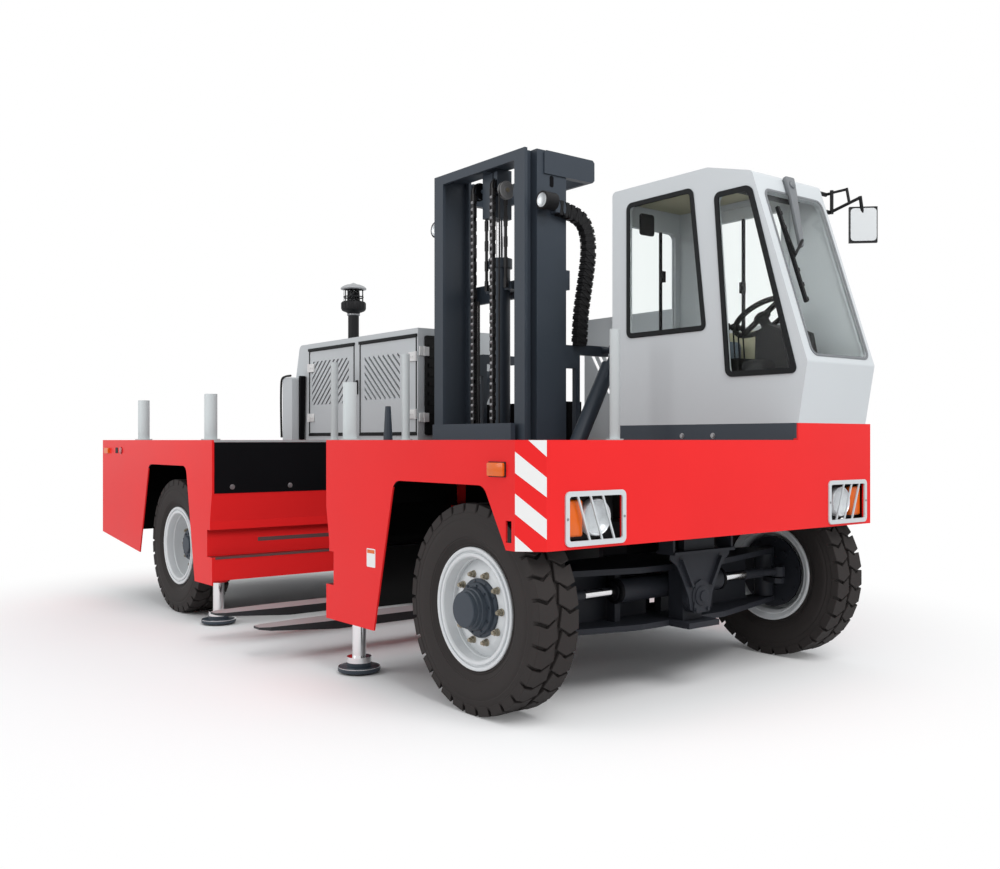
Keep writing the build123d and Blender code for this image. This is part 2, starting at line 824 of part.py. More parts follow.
wheel_centre = (2410.0, seat_y, 2060.0)
with BuildPart() as cab_controls:
    side_profile(
        [
            (2740, cab_bottom + cab_wall),
            (2500, cab_bottom + cab_wall),
            (2470, 1700),
            (2480, 1960),
            (2560, 2005),
            (2660, 1960),
            (2720, 1700),
        ],
        (seat_y - 160, seat_y + 160),
    )
    bar((2510, seat_y, 1915), wheel_centre, 32)
    with BuildSketch(Plane(origin=wheel_centre, z_dir=(-110, 0, 160))):
        Circle(190)
        Circle(165, mode=Mode.SUBTRACT)
        Rectangle(340, 30)
    extrude(amount=24)
write(cab_controls, "cab_controls")

door_gap = 6.0
door_thickness = cab_wall - 2.0
hinge_radius = 11.0
y_door_hinge = y_cab_far + hinge_radius
with BuildPart() as cab_door:
    box(
        (door_rear + door_gap, door_front - door_gap),
        (y_cab_far - door_thickness, y_cab_far),
        (door_low + door_gap, door_high - door_gap),
    )
    box(
        (door_rear + 70, door_front - 70),
        (y_cab_far - cab_wall, y_cab_far + 1),
        (door_low + 600, door_high - 80),
        mode=Mode.SUBTRACT,
    )
    for z in (door_low + 250, door_high - 250):
        bar((door_rear, y_door_hinge, z), (door_rear, y_door_hinge, z + 70), hinge_radius - fit)
        box((door_rear, door_rear + 70), (y_cab_far, y_cab_far + 5), (z, z + 70))
write(cab_door, "cab_door")

with BuildPart() as cab_door_glass:
    box(
        (door_rear + 70, door_front - 70),
        (y_cab_far - 20, y_cab_far - 20 + glass),
        (door_low + 600, door_high - 80),
    )
write(cab_door_glass, "cab_door_glass")

# Engine hood, with two louvred doors facing the deck
hood_outline = [
    (x_hood_rear, deck_height),
    (x_hood_rear, hood_top - hood_slope_drop),
    (x_hood_rear + hood_slope_run, hood_top),
    (x_hood_front, hood_top),
    (x_hood_front, deck_height),
]
y_hood_far = y_far - 10.0
hood_post = 100.0
# Doors: (name, low x, high x, hinge x, slant of the slots)
hood_doors = [
    ("rear", x_hood_rear + 300, -1785.0, x_hood_rear + 300, 1),
    ("front", -1785.0 + hood_post, x_hood_front - 20, x_hood_front - 20, -1),
]
with BuildPart() as engine_hood:
    side_profile(hood_outline, (y_hood, y_hood_far), rounds=[(1, 60), (2, 60)])
    side_profile(inset(hood_outline, hood_wall), (y_hood + hood_wall, y_hood_far - hood_wall), mode=Mode.SUBTRACT)
    box(
        (x_hood_rear + hood_wall, x_hood_front - hood_wall),
        (y_hood + hood_wall, y_hood_far - hood_wall),
        (deck_height - 1, deck_height + hood_wall + 1),
        mode=Mode.SUBTRACT,
    )
    for name, low, high, hinge, slant in hood_doors:
        box(
            (low, high),
            (y_hood - 1, y_hood + hood_wall + 1),
            (hood_door_low, hood_door_high),
            mode=Mode.SUBTRACT,
        )
write(engine_hood, "engine_hood")

louvre_low = 1658.0
louvre_high = 2073.0
louvre_angle = 41.0
louvre_pitch = 78.0
louvre_width = 20.0
louvre_count = 15
# Louvre blocks: name of the door: (low x, high x)
louvre_blocks = {"rear": (-2591.0, -1887.0), "front": (-1608.0, -1030.0)}
door_margin = 5.0
for name, low, high, hinge, slant in hood_doors:
    with BuildPart() as hood_door:
        box(
            (low + door_margin, high - door_margin),
            (y_hood + 1, y_hood + 1 + hood_door_thickness),
            (hood_door_low + door_margin, hood_door_high - door_margin),
        )
        block_low, block_high = louvre_blocks[name]
        middle_x = (block_low + block_high) / 2
        middle_z = (louvre_low + louvre_high) / 2
        with BuildSketch(Plane(origin=(middle_x, y_hood - 1, middle_z), x_dir=(1, 0, 0), z_dir=(0, -1, 0))):
            with GridLocations(louvre_pitch, 1, louvre_count, 1):
                Rectangle(block_high - block_low, louvre_width, rotation=slant * louvre_angle)
            Rectangle(block_high - block_low, louvre_high - louvre_low, mode=Mode.INTERSECT)
        extrude(amount=-hood_door_thickness - 4, mode=Mode.SUBTRACT)
        for z in (hood_door_low + 120, hood_door_high - 200):
            inside = 1 if hinge == low else -1
            bar((hinge, y_hood - 10, z), (hinge, y_hood - 10, z + 70), 10 - fit)
            box(
                tuple(sorted((hinge + inside * 1, hinge + inside * 60))),
                (y_hood - 10, y_hood + 1),
                (z, z + 70),
            )
    write(hood_door, f"hood_door_{name}")

with BuildPart() as engine_block:
    box((x_rear_axle - 700, x_rear_axle + 250), (y_hood + 180, y_hood_far - 180), (deck_height, 2050))
write(engine_block, "engine_block")

# Air intake: a pipe through the hood's roof with a bowl and a cap
intake_x = -2510.0
intake_y = 950.0
# Outline of the intake: (radius, z)
intake_outline = [
    (0, hood_top),
    (50, hood_top),
    (50, 2600),
    (112, 2612),
    (117, 2690),
    (84, 2705),
    (84, 2738),
    (117, 2752),
    (110, 2820),
    (50, 2868),
    (0, 2870),
]
with BuildPart() as air_intake:
    with BuildSketch(Plane(origin=(intake_x, intake_y, 0), x_dir=(1, 0, 0), z_dir=(0, -1, 0))):
        with BuildLine():
            Polyline(*intake_outline, close=True)
        make_face()
    revolve(axis=Axis((intake_x, intake_y, 0), (0, 0, 1)))
write(air_intake, "air_intake")

# Louvred guard and tank on the spine behind the mast
guard_low = x_mast + 200.0
guard_y = y_far - 48.0
tank_depth = 185.0
tank_top = 1620.0
with BuildPart() as side_guard:
    box((guard_low, x_cab_rear - 5), (guard_y, guard_y + 8), (deck_height, hood_top))
    with BuildSketch(
        Plane(origin=((guard_low + x_cab_rear) / 2, guard_y - 1, 1850), x_dir=(1, 0, 0), z_dir=(0, -1, 0))
    ):
        with GridLocations(72, 1, 10, 1):
            SlotOverall(420, 30, rotation=-58)
    extrude(amount=-12, mode=Mode.SUBTRACT)
    for x in (guard_low, x_cab_rear - 35):
        box((x, x + 30), (guard_y + 8, y_far - 10), (deck_height, hood_top))
write(side_guard, "side_guard")

with BuildPart() as hydraulic_tank:
    box((x_well_rear - 150, guard_low - 60), (y_far - tank_depth, y_far - 10), (deck_height, tank_top))
    fillet(hydraulic_tank.edges().filter_by(Axis.Z), 25)
write(hydraulic_tank, "hydraulic_tank")

# Stakes on the decks: (name, x, y, radius, height)
stake_table = [
    ("edge_front", 1180.0, y_load + 100, 40.0, 330.0),
    ("edge_middle", -838.0, y_load + 110, 46.0, 335.0),
    ("edge_rear", -2235.0, y_load + 110, 46.0, 330.0),
    ("row_front", 1760.0, y_load + 1650, 33.0, 690.0),
    ("row_middle", -600.0, y_load + 1640, 33.0, 690.0),
    ("row_rear", -1745.0, y_load + 1635, 33.0, 690.0),
]
with BuildPart() as stakes:
    for name, x, y, radius, height in stake_table:
        bar((x, y, deck_height), (x, y, deck_height + height), radius)
        bar((x, y, deck_height), (x, y, deck_height + 8), radius + 22)
write(stakes, "stakes")

# Console at the rear end of the deck, its column and a tapered post before the hood
console_x = (x_rear + 20.0, x_rear + 220.0)
console_y = (400.0, y_hood - 2.0)
console_top = 1930.0
with BuildPart() as rear_console:
    box(console_x, console_y, (deck_height, console_top))
    fillet(rear_console.edges().filter_by(Axis.Y), 22)
    box(console_x, console_y, (deck_height, deck_height + 30))
write(rear_console, "rear_console")

with BuildPart() as console_column:
    box((console_x[1], console_x[1] + 48), (console_y[0] + 8, console_y[1] - 10), (deck_height, console_top + 14))
write(console_column, "console_column")

post_x, post_y = -680.0, 200.0
with BuildPart() as deck_post:
    with Locations((post_x, post_y, deck_height)):
        Cone(37.5, 22.5, 270, align=(Align.CENTER, Align.CENTER, Align.MIN))
write(deck_post, "deck_post")

# Front lamps: a rounded bezel with three slanted bars before the lamp housing
lamp_depth = 60.0
with BuildPart() as lamp_bezels:
    for name, centre, width, height in lamp_table:
        mirror_bars = 1 if centre < body_width / 2 else -1
        with BuildSketch(
            Plane(origin=(x_front, y_load + centre, lamp_centre_z), x_dir=(0, 1, 0), z_dir=(1, 0, 0))
        ):
            RectangleRounded(width, height, 28)
            RectangleRounded(width - 2 * lamp_rim, height - 2 * lamp_rim, 12, mode=Mode.SUBTRACT)
            for shift in (-78, 0, 78):
                with Locations((shift, 0)):
                    Rectangle(9, height * 1.02, rotation=mirror_bars * 20)
        extrude(amount=8)
write(lamp_bezels, "lamp_bezels")

with BuildPart() as head_lamps:
    for name, centre, width, height in lamp_table:
        opening = (width / 2 - lamp_rim - 1, height / 2 - lamp_rim - 1)
        box(
            (x_front - lamp_depth, x_front - 25),
            (y_load + centre - opening[0], y_load + centre + opening[0]),
            (lamp_centre_z - opening[1], lamp_centre_z + opening[1]),
        )
        box(
            (x_front - 25, x_front - plate - fit),
            (y_load + centre - opening[0] - 9, y_load + centre + opening[0] + 9),
            (lamp_centre_z - opening[1] - 9, lamp_centre_z + opening[1] + 9),
        )
        bar((x_front - 25, y_load + centre + 45, lamp_centre_z), (x_front - 8, y_load + centre + 45, lamp_centre_z), 58)
write(head_lamps, "head_lamps")

# Mirror on a double arm of tube at the cab's far front corner
mirror_x = x_front - 130.0
mirror_z = (2530.0, 2750.0)
arm_post = (x_front - 290.0, y_far + 40.0)
foot_x = (x_front - 335.0, x_front - 310.0)
foot_z = (2850.0, 2735.0)
# Tubes of the arm: (start, end, radius)
arm_tubes = [
    ((foot_x[0], y_cab_far, foot_z[0]), (foot_x[0], arm_post[1] + 5, foot_z[0]), 13),
    ((foot_x[0] - 6, arm_post[1] - 2, foot_z[0]), (*arm_post, foot_z[0]), 9),
    ((foot_x[1], y_cab_far, foot_z[1]), (foot_x[1], arm_post[1] + 5, foot_z[1]), 13),
    ((foot_x[1] - 6, arm_post[1] - 2, foot_z[1]), (*arm_post, foot_z[1]), 9),
    ((*arm_post, 2722), (*arm_post, 2868), 11),
    ((*arm_post, foot_z[1] + 1), (x_front - 120, y_far + 85, 2800), 9.5),
    ((x_front - 121, y_far + 84, 2808), (mirror_x - 1, y_far + mirror_overhang - 69, 2690), 10.5),
    ((*arm_post, foot_z[0] + 3), (x_front - 200, y_far + 65, 2862), 8),
    ((x_front - 201, y_far + 64, 2869), (x_front - 185, y_far + 68, 2775), 8.7),
]
with BuildPart() as mirror:
    for start, end, radius in arm_tubes:
        bar(start, end, radius)
    plan_profile(
        [
            (mirror_x - 70, y_far + mirror_overhang - 118),
            (mirror_x - 50, y_far + mirror_overhang - 138),
            (mirror_x + 68, y_far + mirror_overhang - 20),
            (mirror_x + 48, y_far + mirror_overhang),
        ],
        mirror_z,
    )
write(mirror, "mirror")

# Reach carriage: two cheeks on rollers in the rails, a cross tube and a rear beam
cheek = 25.0
cheek_gap = 10.0
cheek_y = (200.0, 940.0)
toe_y = -100.0
cheek_bottom = 300.0
cheek_z = (400.0, 780.0)
roller_radius = (rail_high - rail_low) / 2 - fit
rail_middle = (rail_low + rail_high) / 2
with BuildPart() as reach_carriage:
    for edge, way in [(x_well_front, -1), (x_well_rear, 1)]:
        outer = edge + way * cheek_gap
        x = tuple(sorted((outer, outer + way * cheek)))
        cross_profile(
            [
                (toe_y, cheek_bottom),
                (toe_y, 650),
                (cheek_y[0] - 100, 660),
                (cheek_y[0], cheek_z[1]),
                (cheek_y[1] - 300, cheek_z[1]),
                (cheek_y[1], cheek_z[1] - 180),
                (cheek_y[1], 330),
                (pivot_y + 60, cheek_bottom),
            ],
            x,
        )
        for y in (toe_y + 100, cheek_y[1] - 130):
            bar((outer + way * cheek, y, rail_middle), (edge - way * wall_slope, y, rail_middle), 30)
            low, high = sorted((edge - way * wall_slope, edge - way * (rail_depth - clear)))
            bar((low, y, rail_middle), (high, y, rail_middle), roller_radius)
    inner_x = (x_well_rear + cheek_gap + cheek, x_well_front - cheek_gap - cheek)
    bar((inner_x[0], pivot_y, pivot_z), (inner_x[1], pivot_y, pivot_z), pivot_radius)
    box(inner_x, (cheek_y[1] - 80, cheek_y[1]), (335, 470))
    # Ears for the feet of the tilt cylinders
    for side in (-1, 1):
        x = x_mast + side * tilt_x_offset
        wall_x = inner_x[0] if side < 0 else inner_x[1]
        bar((wall_x, tilt_base_y, tilt_base_z), (x - side * 40, tilt_base_y, tilt_base_z), 25)
write(reach_carriage, "reach_carriage")

# Mast: both stages are channels that nest in one another
# Stages: (outer face from the middle, front face y)
outer_half = mast_half
inner_half = mast_half - channel_flange - nest_gap


def upright(side, half, y_front, z):
    """One mast channel, its open side towards the middle."""
    web = tuple(sorted((x_mast + side * half, x_mast + side * (half - channel_web))))
    full = tuple(sorted((x_mast + side * half, x_mast + side * (half - channel_flange))))
    box(web, (y_front, y_front + channel_depth), z)
    box(full, (y_front, y_front + channel_flange_thickness), z)
    box(full, (y_front + channel_depth - channel_flange_thickness, y_front + channel_depth), z)


cross_low = (500.0, 700.0)
cross_middle = (2400.0, 2540.0)
cross_y = (y_outer_back, y_outer_back + 35.0)
frame_post_y = (845.0, 884.0)
bracket_z = (1838.0, 2004.0)
tie_end = y_outer + tie_reach
tilt_arm_z = (tilt_eye_z - 42.0, tilt_eye_z + 32.0)
with BuildPart() as mast_outer:
    for side in (-1, 1):
        upright(side, outer_half, y_outer, (mast_bottom, mast_top))
        face = tuple(sorted((x_mast + side * outer_half, x_mast + side * (outer_half - 40))))
        # Foot bearing round the cross tube
        cross_profile(
            [
                (y_outer_back, mast_bottom),
                (y_outer_back, 640),
                (frame_post_y[1], 640),
                (frame_post_y[1], 610),
                (pivot_y + 95, pivot_z + 60),
                (pivot_y + 95, pivot_z - 60),
                (pivot_y + 50, mast_bottom),
            ],
            face,
        )
        box(face, frame_post_y, (640, bracket_z[1]))
        box(face, (y_outer_back, frame_post_y[1]), (640, 760))
        box(face, (y_outer_back, frame_post_y[1]), bracket_z)
        box(face, (frame_post_y[0], tilt_eye_y + 45), tilt_arm_z)
        # Pin for the tilt cylinder's eye
        low, high = sorted((x_mast + side * (outer_half - 40), x_mast + side * (tilt_x_offset + 40)))
        bar((low, tilt_eye_y, tilt_eye_z), (high, tilt_eye_y, tilt_eye_z), 25)
        # Arm of the tie at the top
        tie = tuple(sorted((x_mast + side * (outer_half + tie_step), x_mast + side * (outer_half - 40))))
        cross_profile(
            [
                (y_outer + 60, mast_top - tie_corner),
                (y_outer + 60, mast_top - tie_height),
                (tie_end - tie_corner, mast_top - tie_height),
                (tie_end, mast_top - tie_height + tie_corner),
                (tie_end, mast_top - tie_corner),
                (tie_end - tie_corner, mast_top),
                (y_outer + 60 + tie_corner, mast_top),
            ],
            tie,
        )
    whole = (x_mast - outer_half, x_mast + outer_half)
    box(whole, (tie_end - 45, tie_end - tie_corner), (mast_top - tie_height, mast_top))
    box(whole, cross_y, cross_low)
    box(whole, cross_y, cross_middle)
    # Shelf under the lift cylinder and the arms to its collar
    box((x_mast - 110, x_mast + 110), (y_outer_back - 230, y_outer_back), (560, 600))
    bar((x_mast - 700, pivot_y, pivot_z), (x_mast + 700, pivot_y, pivot_z), pivot_radius + fit, mode=Mode.SUBTRACT)
write(mast_outer, "mast_outer")

# Lift cylinder: its barrel stands on the shelf of the outer stage
lift_y = y_outer_back - 74.0 - lift_radius
lift_base_z = 600.0
with BuildPart() as lift_cylinder:
    bar((x_mast, lift_y, lift_base_z), (x_mast, lift_y, lift_top), lift_radius)
    bar(
        (x_mast, lift_y, lift_base_z + 40),
        (x_mast, lift_y, lift_top - 60),
        lift_radius - lift_wall,
        mode=Mode.SUBTRACT,
    )
    bar(
        (x_mast, lift_y, lift_top - 61),
        (x_mast, lift_y, lift_top + 1),
        lift_rod_radius + fit,
        mode=Mode.SUBTRACT,
    )
    bar((x_mast, lift_y, lift_top - 70), (x_mast, lift_y, lift_top), lift_radius + 15)
    bar(
        (x_mast, lift_y, lift_top - 71),
        (x_mast, lift_y, lift_top + 1),
        lift_rod_radius + fit,
        mode=Mode.SUBTRACT,
    )
    # Collar, the stay that holds it and the ends of the chains' back runs
    box(
        (x_mast - chain_offset - 40, x_mast + chain_offset + 40),
        (lift_y - 20, lift_y + 74 + lift_radius),
        (lift_collar_z - 28, lift_collar_z + 28),
    )
    bar(
        (x_mast, lift_y, lift_collar_z - 29),
        (x_mast, lift_y, lift_collar_z + 29),
        lift_radius - lift_wall,
        mode=Mode.SUBTRACT,
    )
    for side in (-1, 1):
        x = x_mast + side * chain_offset
        box((x - 21, x + 21), (lift_y - 60, lift_y - 18), (lift_collar_z - 29, lift_collar_z + 29), mode=Mode.SUBTRACT)
write(lift_cylinder, "lift_cylinder")

crosshead_z = (2975.0, 3300.0)
with BuildPart() as lift_rod:
    bar((x_mast, lift_y, 700), (x_mast, lift_y, crosshead_z[0]), lift_rod_radius)
    bar((x_mast, lift_y, 700), (x_mast, lift_y, 760), lift_radius - lift_wall - fit)
write(lift_rod, "lift_rod")

chain_y = y_inner + chain_setback
sheave_y = chain_y + sheave_radius
inner_cross_y = (chain_y + 31, chain_y + 66)
with BuildPart() as mast_inner:
    for side in (-1, 1):
        upright(side, inner_half, y_inner, (mast_bottom, mast_top))
        # Front flange, which also covers the front of the outer stage
        cover = sorted((x_mast + side * inner_half, x_mast + side * (outer_half - 21)))
        box(tuple(cover), (y_inner, y_inner + channel_flange_thickness), (mast_bottom, mast_top))
        # Rollers that run in the outer stage
        roller = channel_depth / 2 - channel_flange_thickness - fit
        outward = x_mast + side * inner_half
        for z in (mast_bottom + 330, 1300):
            y = y_outer + channel_depth / 2
            bar((outward, y, z), (outward + side * (nest_gap + 40), y, z), 30)
            bar((outward + side * (nest_gap + 6), y, z), (outward + side * (nest_gap + 40), y, z), roller)
    inside = (x_mast - inner_half + channel_web, x_mast + inner_half - channel_web)
    between = (x_mast - inner_half + channel_flange, x_mast + inner_half - channel_flange)
    box(inside, inner_cross_y, (mast_bottom, mast_bottom + 100))
    box(between, (y_inner, y_inner + 25), (mast_top - 70, mast_top))
    box(inside, (y_inner + 25, y_inner + channel_depth - 25), (mast_top - 25, mast_top))
    # Crosshead over the rod, with the sheaves of the two chains
    box((x_mast - 60, x_mast + 60), (sheave_y - 18, lift_y + 60), crosshead_z)
    box((x_mast - 60, x_mast + 60), (y_inner + 40, lift_y + 60), (crosshead_z[1], mast_top - 25))
    bar((x_mast - chain_offset - 22, sheave_y, sheave_z), (x_mast + chain_offset + 22, sheave_y, sheave_z), 16)
    for side in (-1, 1):
        x = x_mast + side * chain_offset
        bar((x - 16, sheave_y, sheave_z), (x + 16, sheave_y, sheave_z), sheave_radius - 9)
    # Hose sheave beside the near upright
    hose_x = x_mast + inner_half - channel_flange - 60
    bar((hose_x, y_inner + 130, 3085), (hose_x + 34, y_inner + 130, 3085), 96)
    bar((hose_x + 34, y_inner + 130, 3085), (x_mast + inner_half - channel_web, y_inner + 130, 3085), 22)
write(mast_inner, "mast_inner")

# Chains: wide and narrow links in turn down the front, over the sheave and down behind
link_pitch = 152.0
link_wide = 15.0
link_narrow = 9.0
link_half_depth = 8.0
chain_low = 1262.0
chain_back_low = lift_collar_z - 18


def link_outline(x, low, high):
    """The front view of a chain run: links of two widths in turn."""
    right = []
    z = low
    wide = True
    while z < high - 1:
        top = min(z + link_pitch / 2, high)
        half = link_wide if wide else link_narrow
        right += [(half, z), (half, top)]
        z = top
        wide = not wide
    left = [(-half, z) for half, z in reversed(right)]
    return [(x + half, z) for half, z in right + left]


with BuildPart() as lift_chains:
    for side in (-1, 1):
        x = x_mast + side * chain_offset
        back = chain_y + 2 * sheave_radius
        depth = link_half_depth
        side_profile(link_outline(x, chain_low, sheave_z), (chain_y - depth, chain_y + depth))
        side_profile(link_outline(x, chain_back_low, sheave_z), (back - depth, back + depth))
        section = Plane(origin=(x, sheave_y, sheave_z), x_dir=(0, 1, 0), z_dir=(1, 0, 0))
        with BuildSketch(section):
            Circle(sheave_radius + link_half_depth)
            Circle(sheave_radius - link_half_depth, mode=Mode.SUBTRACT)
            with Locations((0, -sheave_radius)):
                Rectangle(4 * sheave_radius, 2 * sheave_radius, mode=Mode.SUBTRACT)
        extrude(amount=link_narrow, both=True)
write(lift_chains, "lift_chains")

# Fork carriage: arms with rollers in the inner stage, bars across the front
carriage_front = y_inner - 27 - carriage_plate
arm_half = inner_half - channel_flange - 5
with BuildPart() as fork_carriage:
    for side in (-1, 1):
        face = tuple(sorted((x_mast + side * arm_half, x_mast + side * (arm_half - 24))))
        box(face, (carriage_front + carriage_plate, y_inner + channel_depth - 60), (400, 1300))
        for z in (520, 1180):
            y = y_inner + channel_depth / 2
            low = x_mast + side * arm_half
            bar((low, y, z), (low + side * 14, y, z), 30)
            roller = channel_depth / 2 - channel_flange_thickness - fit
            bar((low + side * 10, y, z), (low + side * 44, y, z), roller)
    whole = (x_mast - 480, x_mast + 480)
    for z in ((330, 450), (1290, 1439)):
        box(whole, (carriage_front, carriage_front + carriage_plate), z)
    for side in (-1, 1):
        x = x_mast + side * (arm_half - 12)
        box((x - 40, x + 40), (carriage_front, carriage_front + carriage_plate), (450, 1290))
        # Chain anchors, open in the middle
        for off in (-31, 21):
            x = x_mast + side * chain_offset + off
            box((x, x + 10), (carriage_front + carriage_plate, chain_y + 16), (1290, 1330))
write(fork_carriage, "fork_carriage")

fork_heel_y = carriage_front - 62
with BuildPart() as forks:
    for side in (-1, 1):
        x = x_mast + side * fork_spacing / 2
        span = (x - fork_width / 2, x + fork_width / 2)
        tip = y_load - fork_overhang
        cross_profile(
            [
                (carriage_front, fork_top - fork_thickness),
                (tip + 500, fork_top - fork_thickness),
                (tip + 60, fork_top - 22),
                (tip, fork_top - 14),
                (tip, fork_top),
                (fork_heel_y, fork_top),
                (fork_heel_y, fork_shank_top),
                (carriage_front, fork_shank_top),
            ],
            span,
        )
        # Tips taper and are round in plan
        for edge in (-1, 1):
            corner = x + edge * fork_width / 2
            plan_profile(
                [
                    (corner + edge, tip - 1),
                    (corner + edge, tip + 420),
                    (corner - edge * 0.5, tip + 420),
                    (corner - edge * 30, tip + 60),
                    (corner - edge * 62, tip - 1),
                ],
                (fork_top - fork_thickness - 1, fork_top + 1),
                mode=Mode.SUBTRACT,
            )
write(forks, "forks")

# Tilt cylinders beside the mast, from the cheeks' ears up to the pins on the outer stage
tilt_base = Vector(0, tilt_base_y, tilt_base_z)
tilt_eye = Vector(0, tilt_eye_y, tilt_eye_z)
tilt_run = (tilt_eye - tilt_base).normalized()
tilt_length = (tilt_eye - tilt_base).length
tilt_barrel_end = 1355.0


def along_tilt(x, distance):
    """A point on a tilt cylinder's axis."""
    point = tilt_base + tilt_run * distance
    return (x, point.Y, point.Z)


with BuildPart() as tilt_barrels:
    for side in (-1, 1):
        x = x_mast + side * tilt_x_offset
        bar(along_tilt(x, 40), along_tilt(x, tilt_barrel_end), tilt_radius)
        bar((x - 28, tilt_base_y, tilt_base_z), (x + 28, tilt_base_y, tilt_base_z), 52)
        bar(
            (x - 60, tilt_base_y, tilt_base_z),
            (x + 60, tilt_base_y, tilt_base_z),
            25 + fit,
            mode=Mode.SUBTRACT,
        )
        bar(along_tilt(x, 700), along_tilt(x, tilt_barrel_end + 1), tilt_rod_radius + fit, mode=Mode.SUBTRACT)
write(tilt_barrels, "tilt_barrels")

with BuildPart() as tilt_rods:
    for side in (-1, 1):
        x = x_mast + side * tilt_x_offset
        bar(along_tilt(x, 800), along_tilt(x, tilt_length - 40), tilt_rod_radius)
        bar((x - 26, tilt_eye_y, tilt_eye_z), (x + 26, tilt_eye_y, tilt_eye_z), 50)
        bar(
            (x - 60, tilt_eye_y, tilt_eye_z),
            (x + 60, tilt_eye_y, tilt_eye_z),
            25 + 4.0,
            mode=Mode.SUBTRACT,
        )
write(tilt_rods, "tilt_rods")

# Hose guard of the near upright: a link chain that curves back and down
guard_x = x_mast + outer_half + fit
guard_points = [
    (y_outer + 150, 2985.0),
    (y_outer_back + 60, 2975.0),
    (y_outer_back + 150, 2830.0),
    (y_outer_back + 150, 2500.0),
    (y_outer_back + 105, 2200.0),
    (y_outer_back + 105, 2010.0),
]
guard_bends = [70.0, 90.0, 220.0, 220.0]
with BuildPart() as hose_guard:
    with BuildLine() as route:
        FilletPolyline(*[(guard_x + 30, y, z) for y, z in guard_points], radius=guard_bends)
    with BuildSketch(Plane(origin=route.line @ 0, z_dir=route.line % 0, x_dir=(1, 0, 0))):
        Rectangle(56, 92)
    sweep(path=route.line)
    box((guard_x, guard_x + 60), (y_outer + 120, y_outer + 152), (2940, 3030))
write(hose_guard, "hose_guard")

# Round work lamps on both sides of the outer stage
with BuildPart() as work_lamps:
    for side in (-1, 1):
        low = x_mast + side * outer_half
        bar((low, y_outer + 40, 2990), (low + side * 55, y_outer + 40, 2990), 12)
        bar((low + side * 75, y_outer + 90, 2990), (low + side * 75, y_outer - 10, 2990), 62)
        bar((low + side * 40, y_outer + 40, 2990), (low + side * 75, y_outer + 40, 2990), 12)
write(work_lamps, "work_lamps")

# Jacks: rod, castle collar and round pad
for name, x in jack_table:
    with BuildPart() as jack:
        bar((x, y_jack, jack_float + 30), (x, y_jack, deck_under - 320), jack_rod_radius)
        bar((x, y_jack, jack_float), (x, y_jack, jack_float + 24), jack_pad_radius)
        bar((x, y_jack, jack_float + 24), (x, y_jack, jack_float + 80), 70)
    write(jack, f"jack_{name}")

# Reach cylinders under the cheeks: barrels hang on the spine, rods pull at the cheeks' toes
reach_z = 245.0
reach_offset = 62.0
reach_radius = 45.0
reach_rod_radius = 26.0
reach_y = (-30.0, 1310.0)
reach_eye_y = -72.0
reach_table = [x_well_front - reach_offset, x_well_rear + reach_offset]
with BuildPart() as reach_cylinder:
    for x in reach_table:
        bar((x, reach_y[0], reach_z), (x, reach_y[1], reach_z), reach_radius)
        bar((x, reach_y[0] + 50, reach_z), (x, reach_y[1] - 15, reach_z), reach_radius - 8, mode=Mode.SUBTRACT)
        bar((x, reach_y[0] - 1, reach_z), (x, reach_y[0] + 51, reach_z), reach_rod_radius + fit, mode=Mode.SUBTRACT)
        box((x - 30, x + 30), (reach_y[1] - 80, reach_y[1]), (reach_z + reach_radius - 4, well_wall_bottom))
write(reach_cylinder, "reach_cylinder")

with BuildPart() as reach_rod:
    for x in reach_table:
        bar((x, reach_eye_y, reach_z), (x, reach_y[1] - 20, reach_z), reach_rod_radius)
        bar((x, reach_y[1] - 60, reach_z), (x, reach_y[1] - 20, reach_z), reach_radius - 8 - fit)
        box((x - 32, x + 32), (reach_eye_y - 22, reach_eye_y + 22), (reach_z - 32, cheek_bottom))
write(reach_rod, "reach_rod")

# Towing jaw under the rear face
jaw_pin_radius = 16.0
jaw_x = (x_rear + 5, x_rear + 120)
jaw_low = rear_skirt_end - 95
with BuildPart() as tow_jaw:
    for z in (jaw_low, rear_skirt_end - 20):
        box(jaw_x, (y_mid - 60, y_mid + 60), (z, z + 20))
    box((jaw_x[1], jaw_x[1] + 20), (y_mid - 60, y_mid + 60), (jaw_low, beam_low))
    for side in (-1, 1):
        y = y_mid + side * 50
        box((x_rear + plate, jaw_x[1]), (y - 8, y + 8), (rear_skirt_end, beam_low))
    box((x_rear + plate, jaw_x[1] + 20), (y_mid - beam_half + 60, y_mid + beam_half - 60), (beam_low, beam_low + 14))
    bar(
        (x_rear + 60, y_mid, jaw_low - 1),
        (x_rear + 60, y_mid, rear_skirt_end + 1),
        jaw_pin_radius,
        mode=Mode.SUBTRACT,
    )
write(tow_jaw, "tow_jaw")
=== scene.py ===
# %% [markdown]
# # A side loader forklift, dressed in Blender
# The solids of this machine come from a CAD model. They already have the right place and size, so this
# lesson only gives them finishes and adds what a maker fits last: lamps, seals, bolts, hoses and tread.
# Everything is in metres. +X points to the cab end, +Y away from the load and +Z up.

import json
from math import cos, pi, radians, sin

import bmesh
import bpy
from mathutils import Matrix, Vector


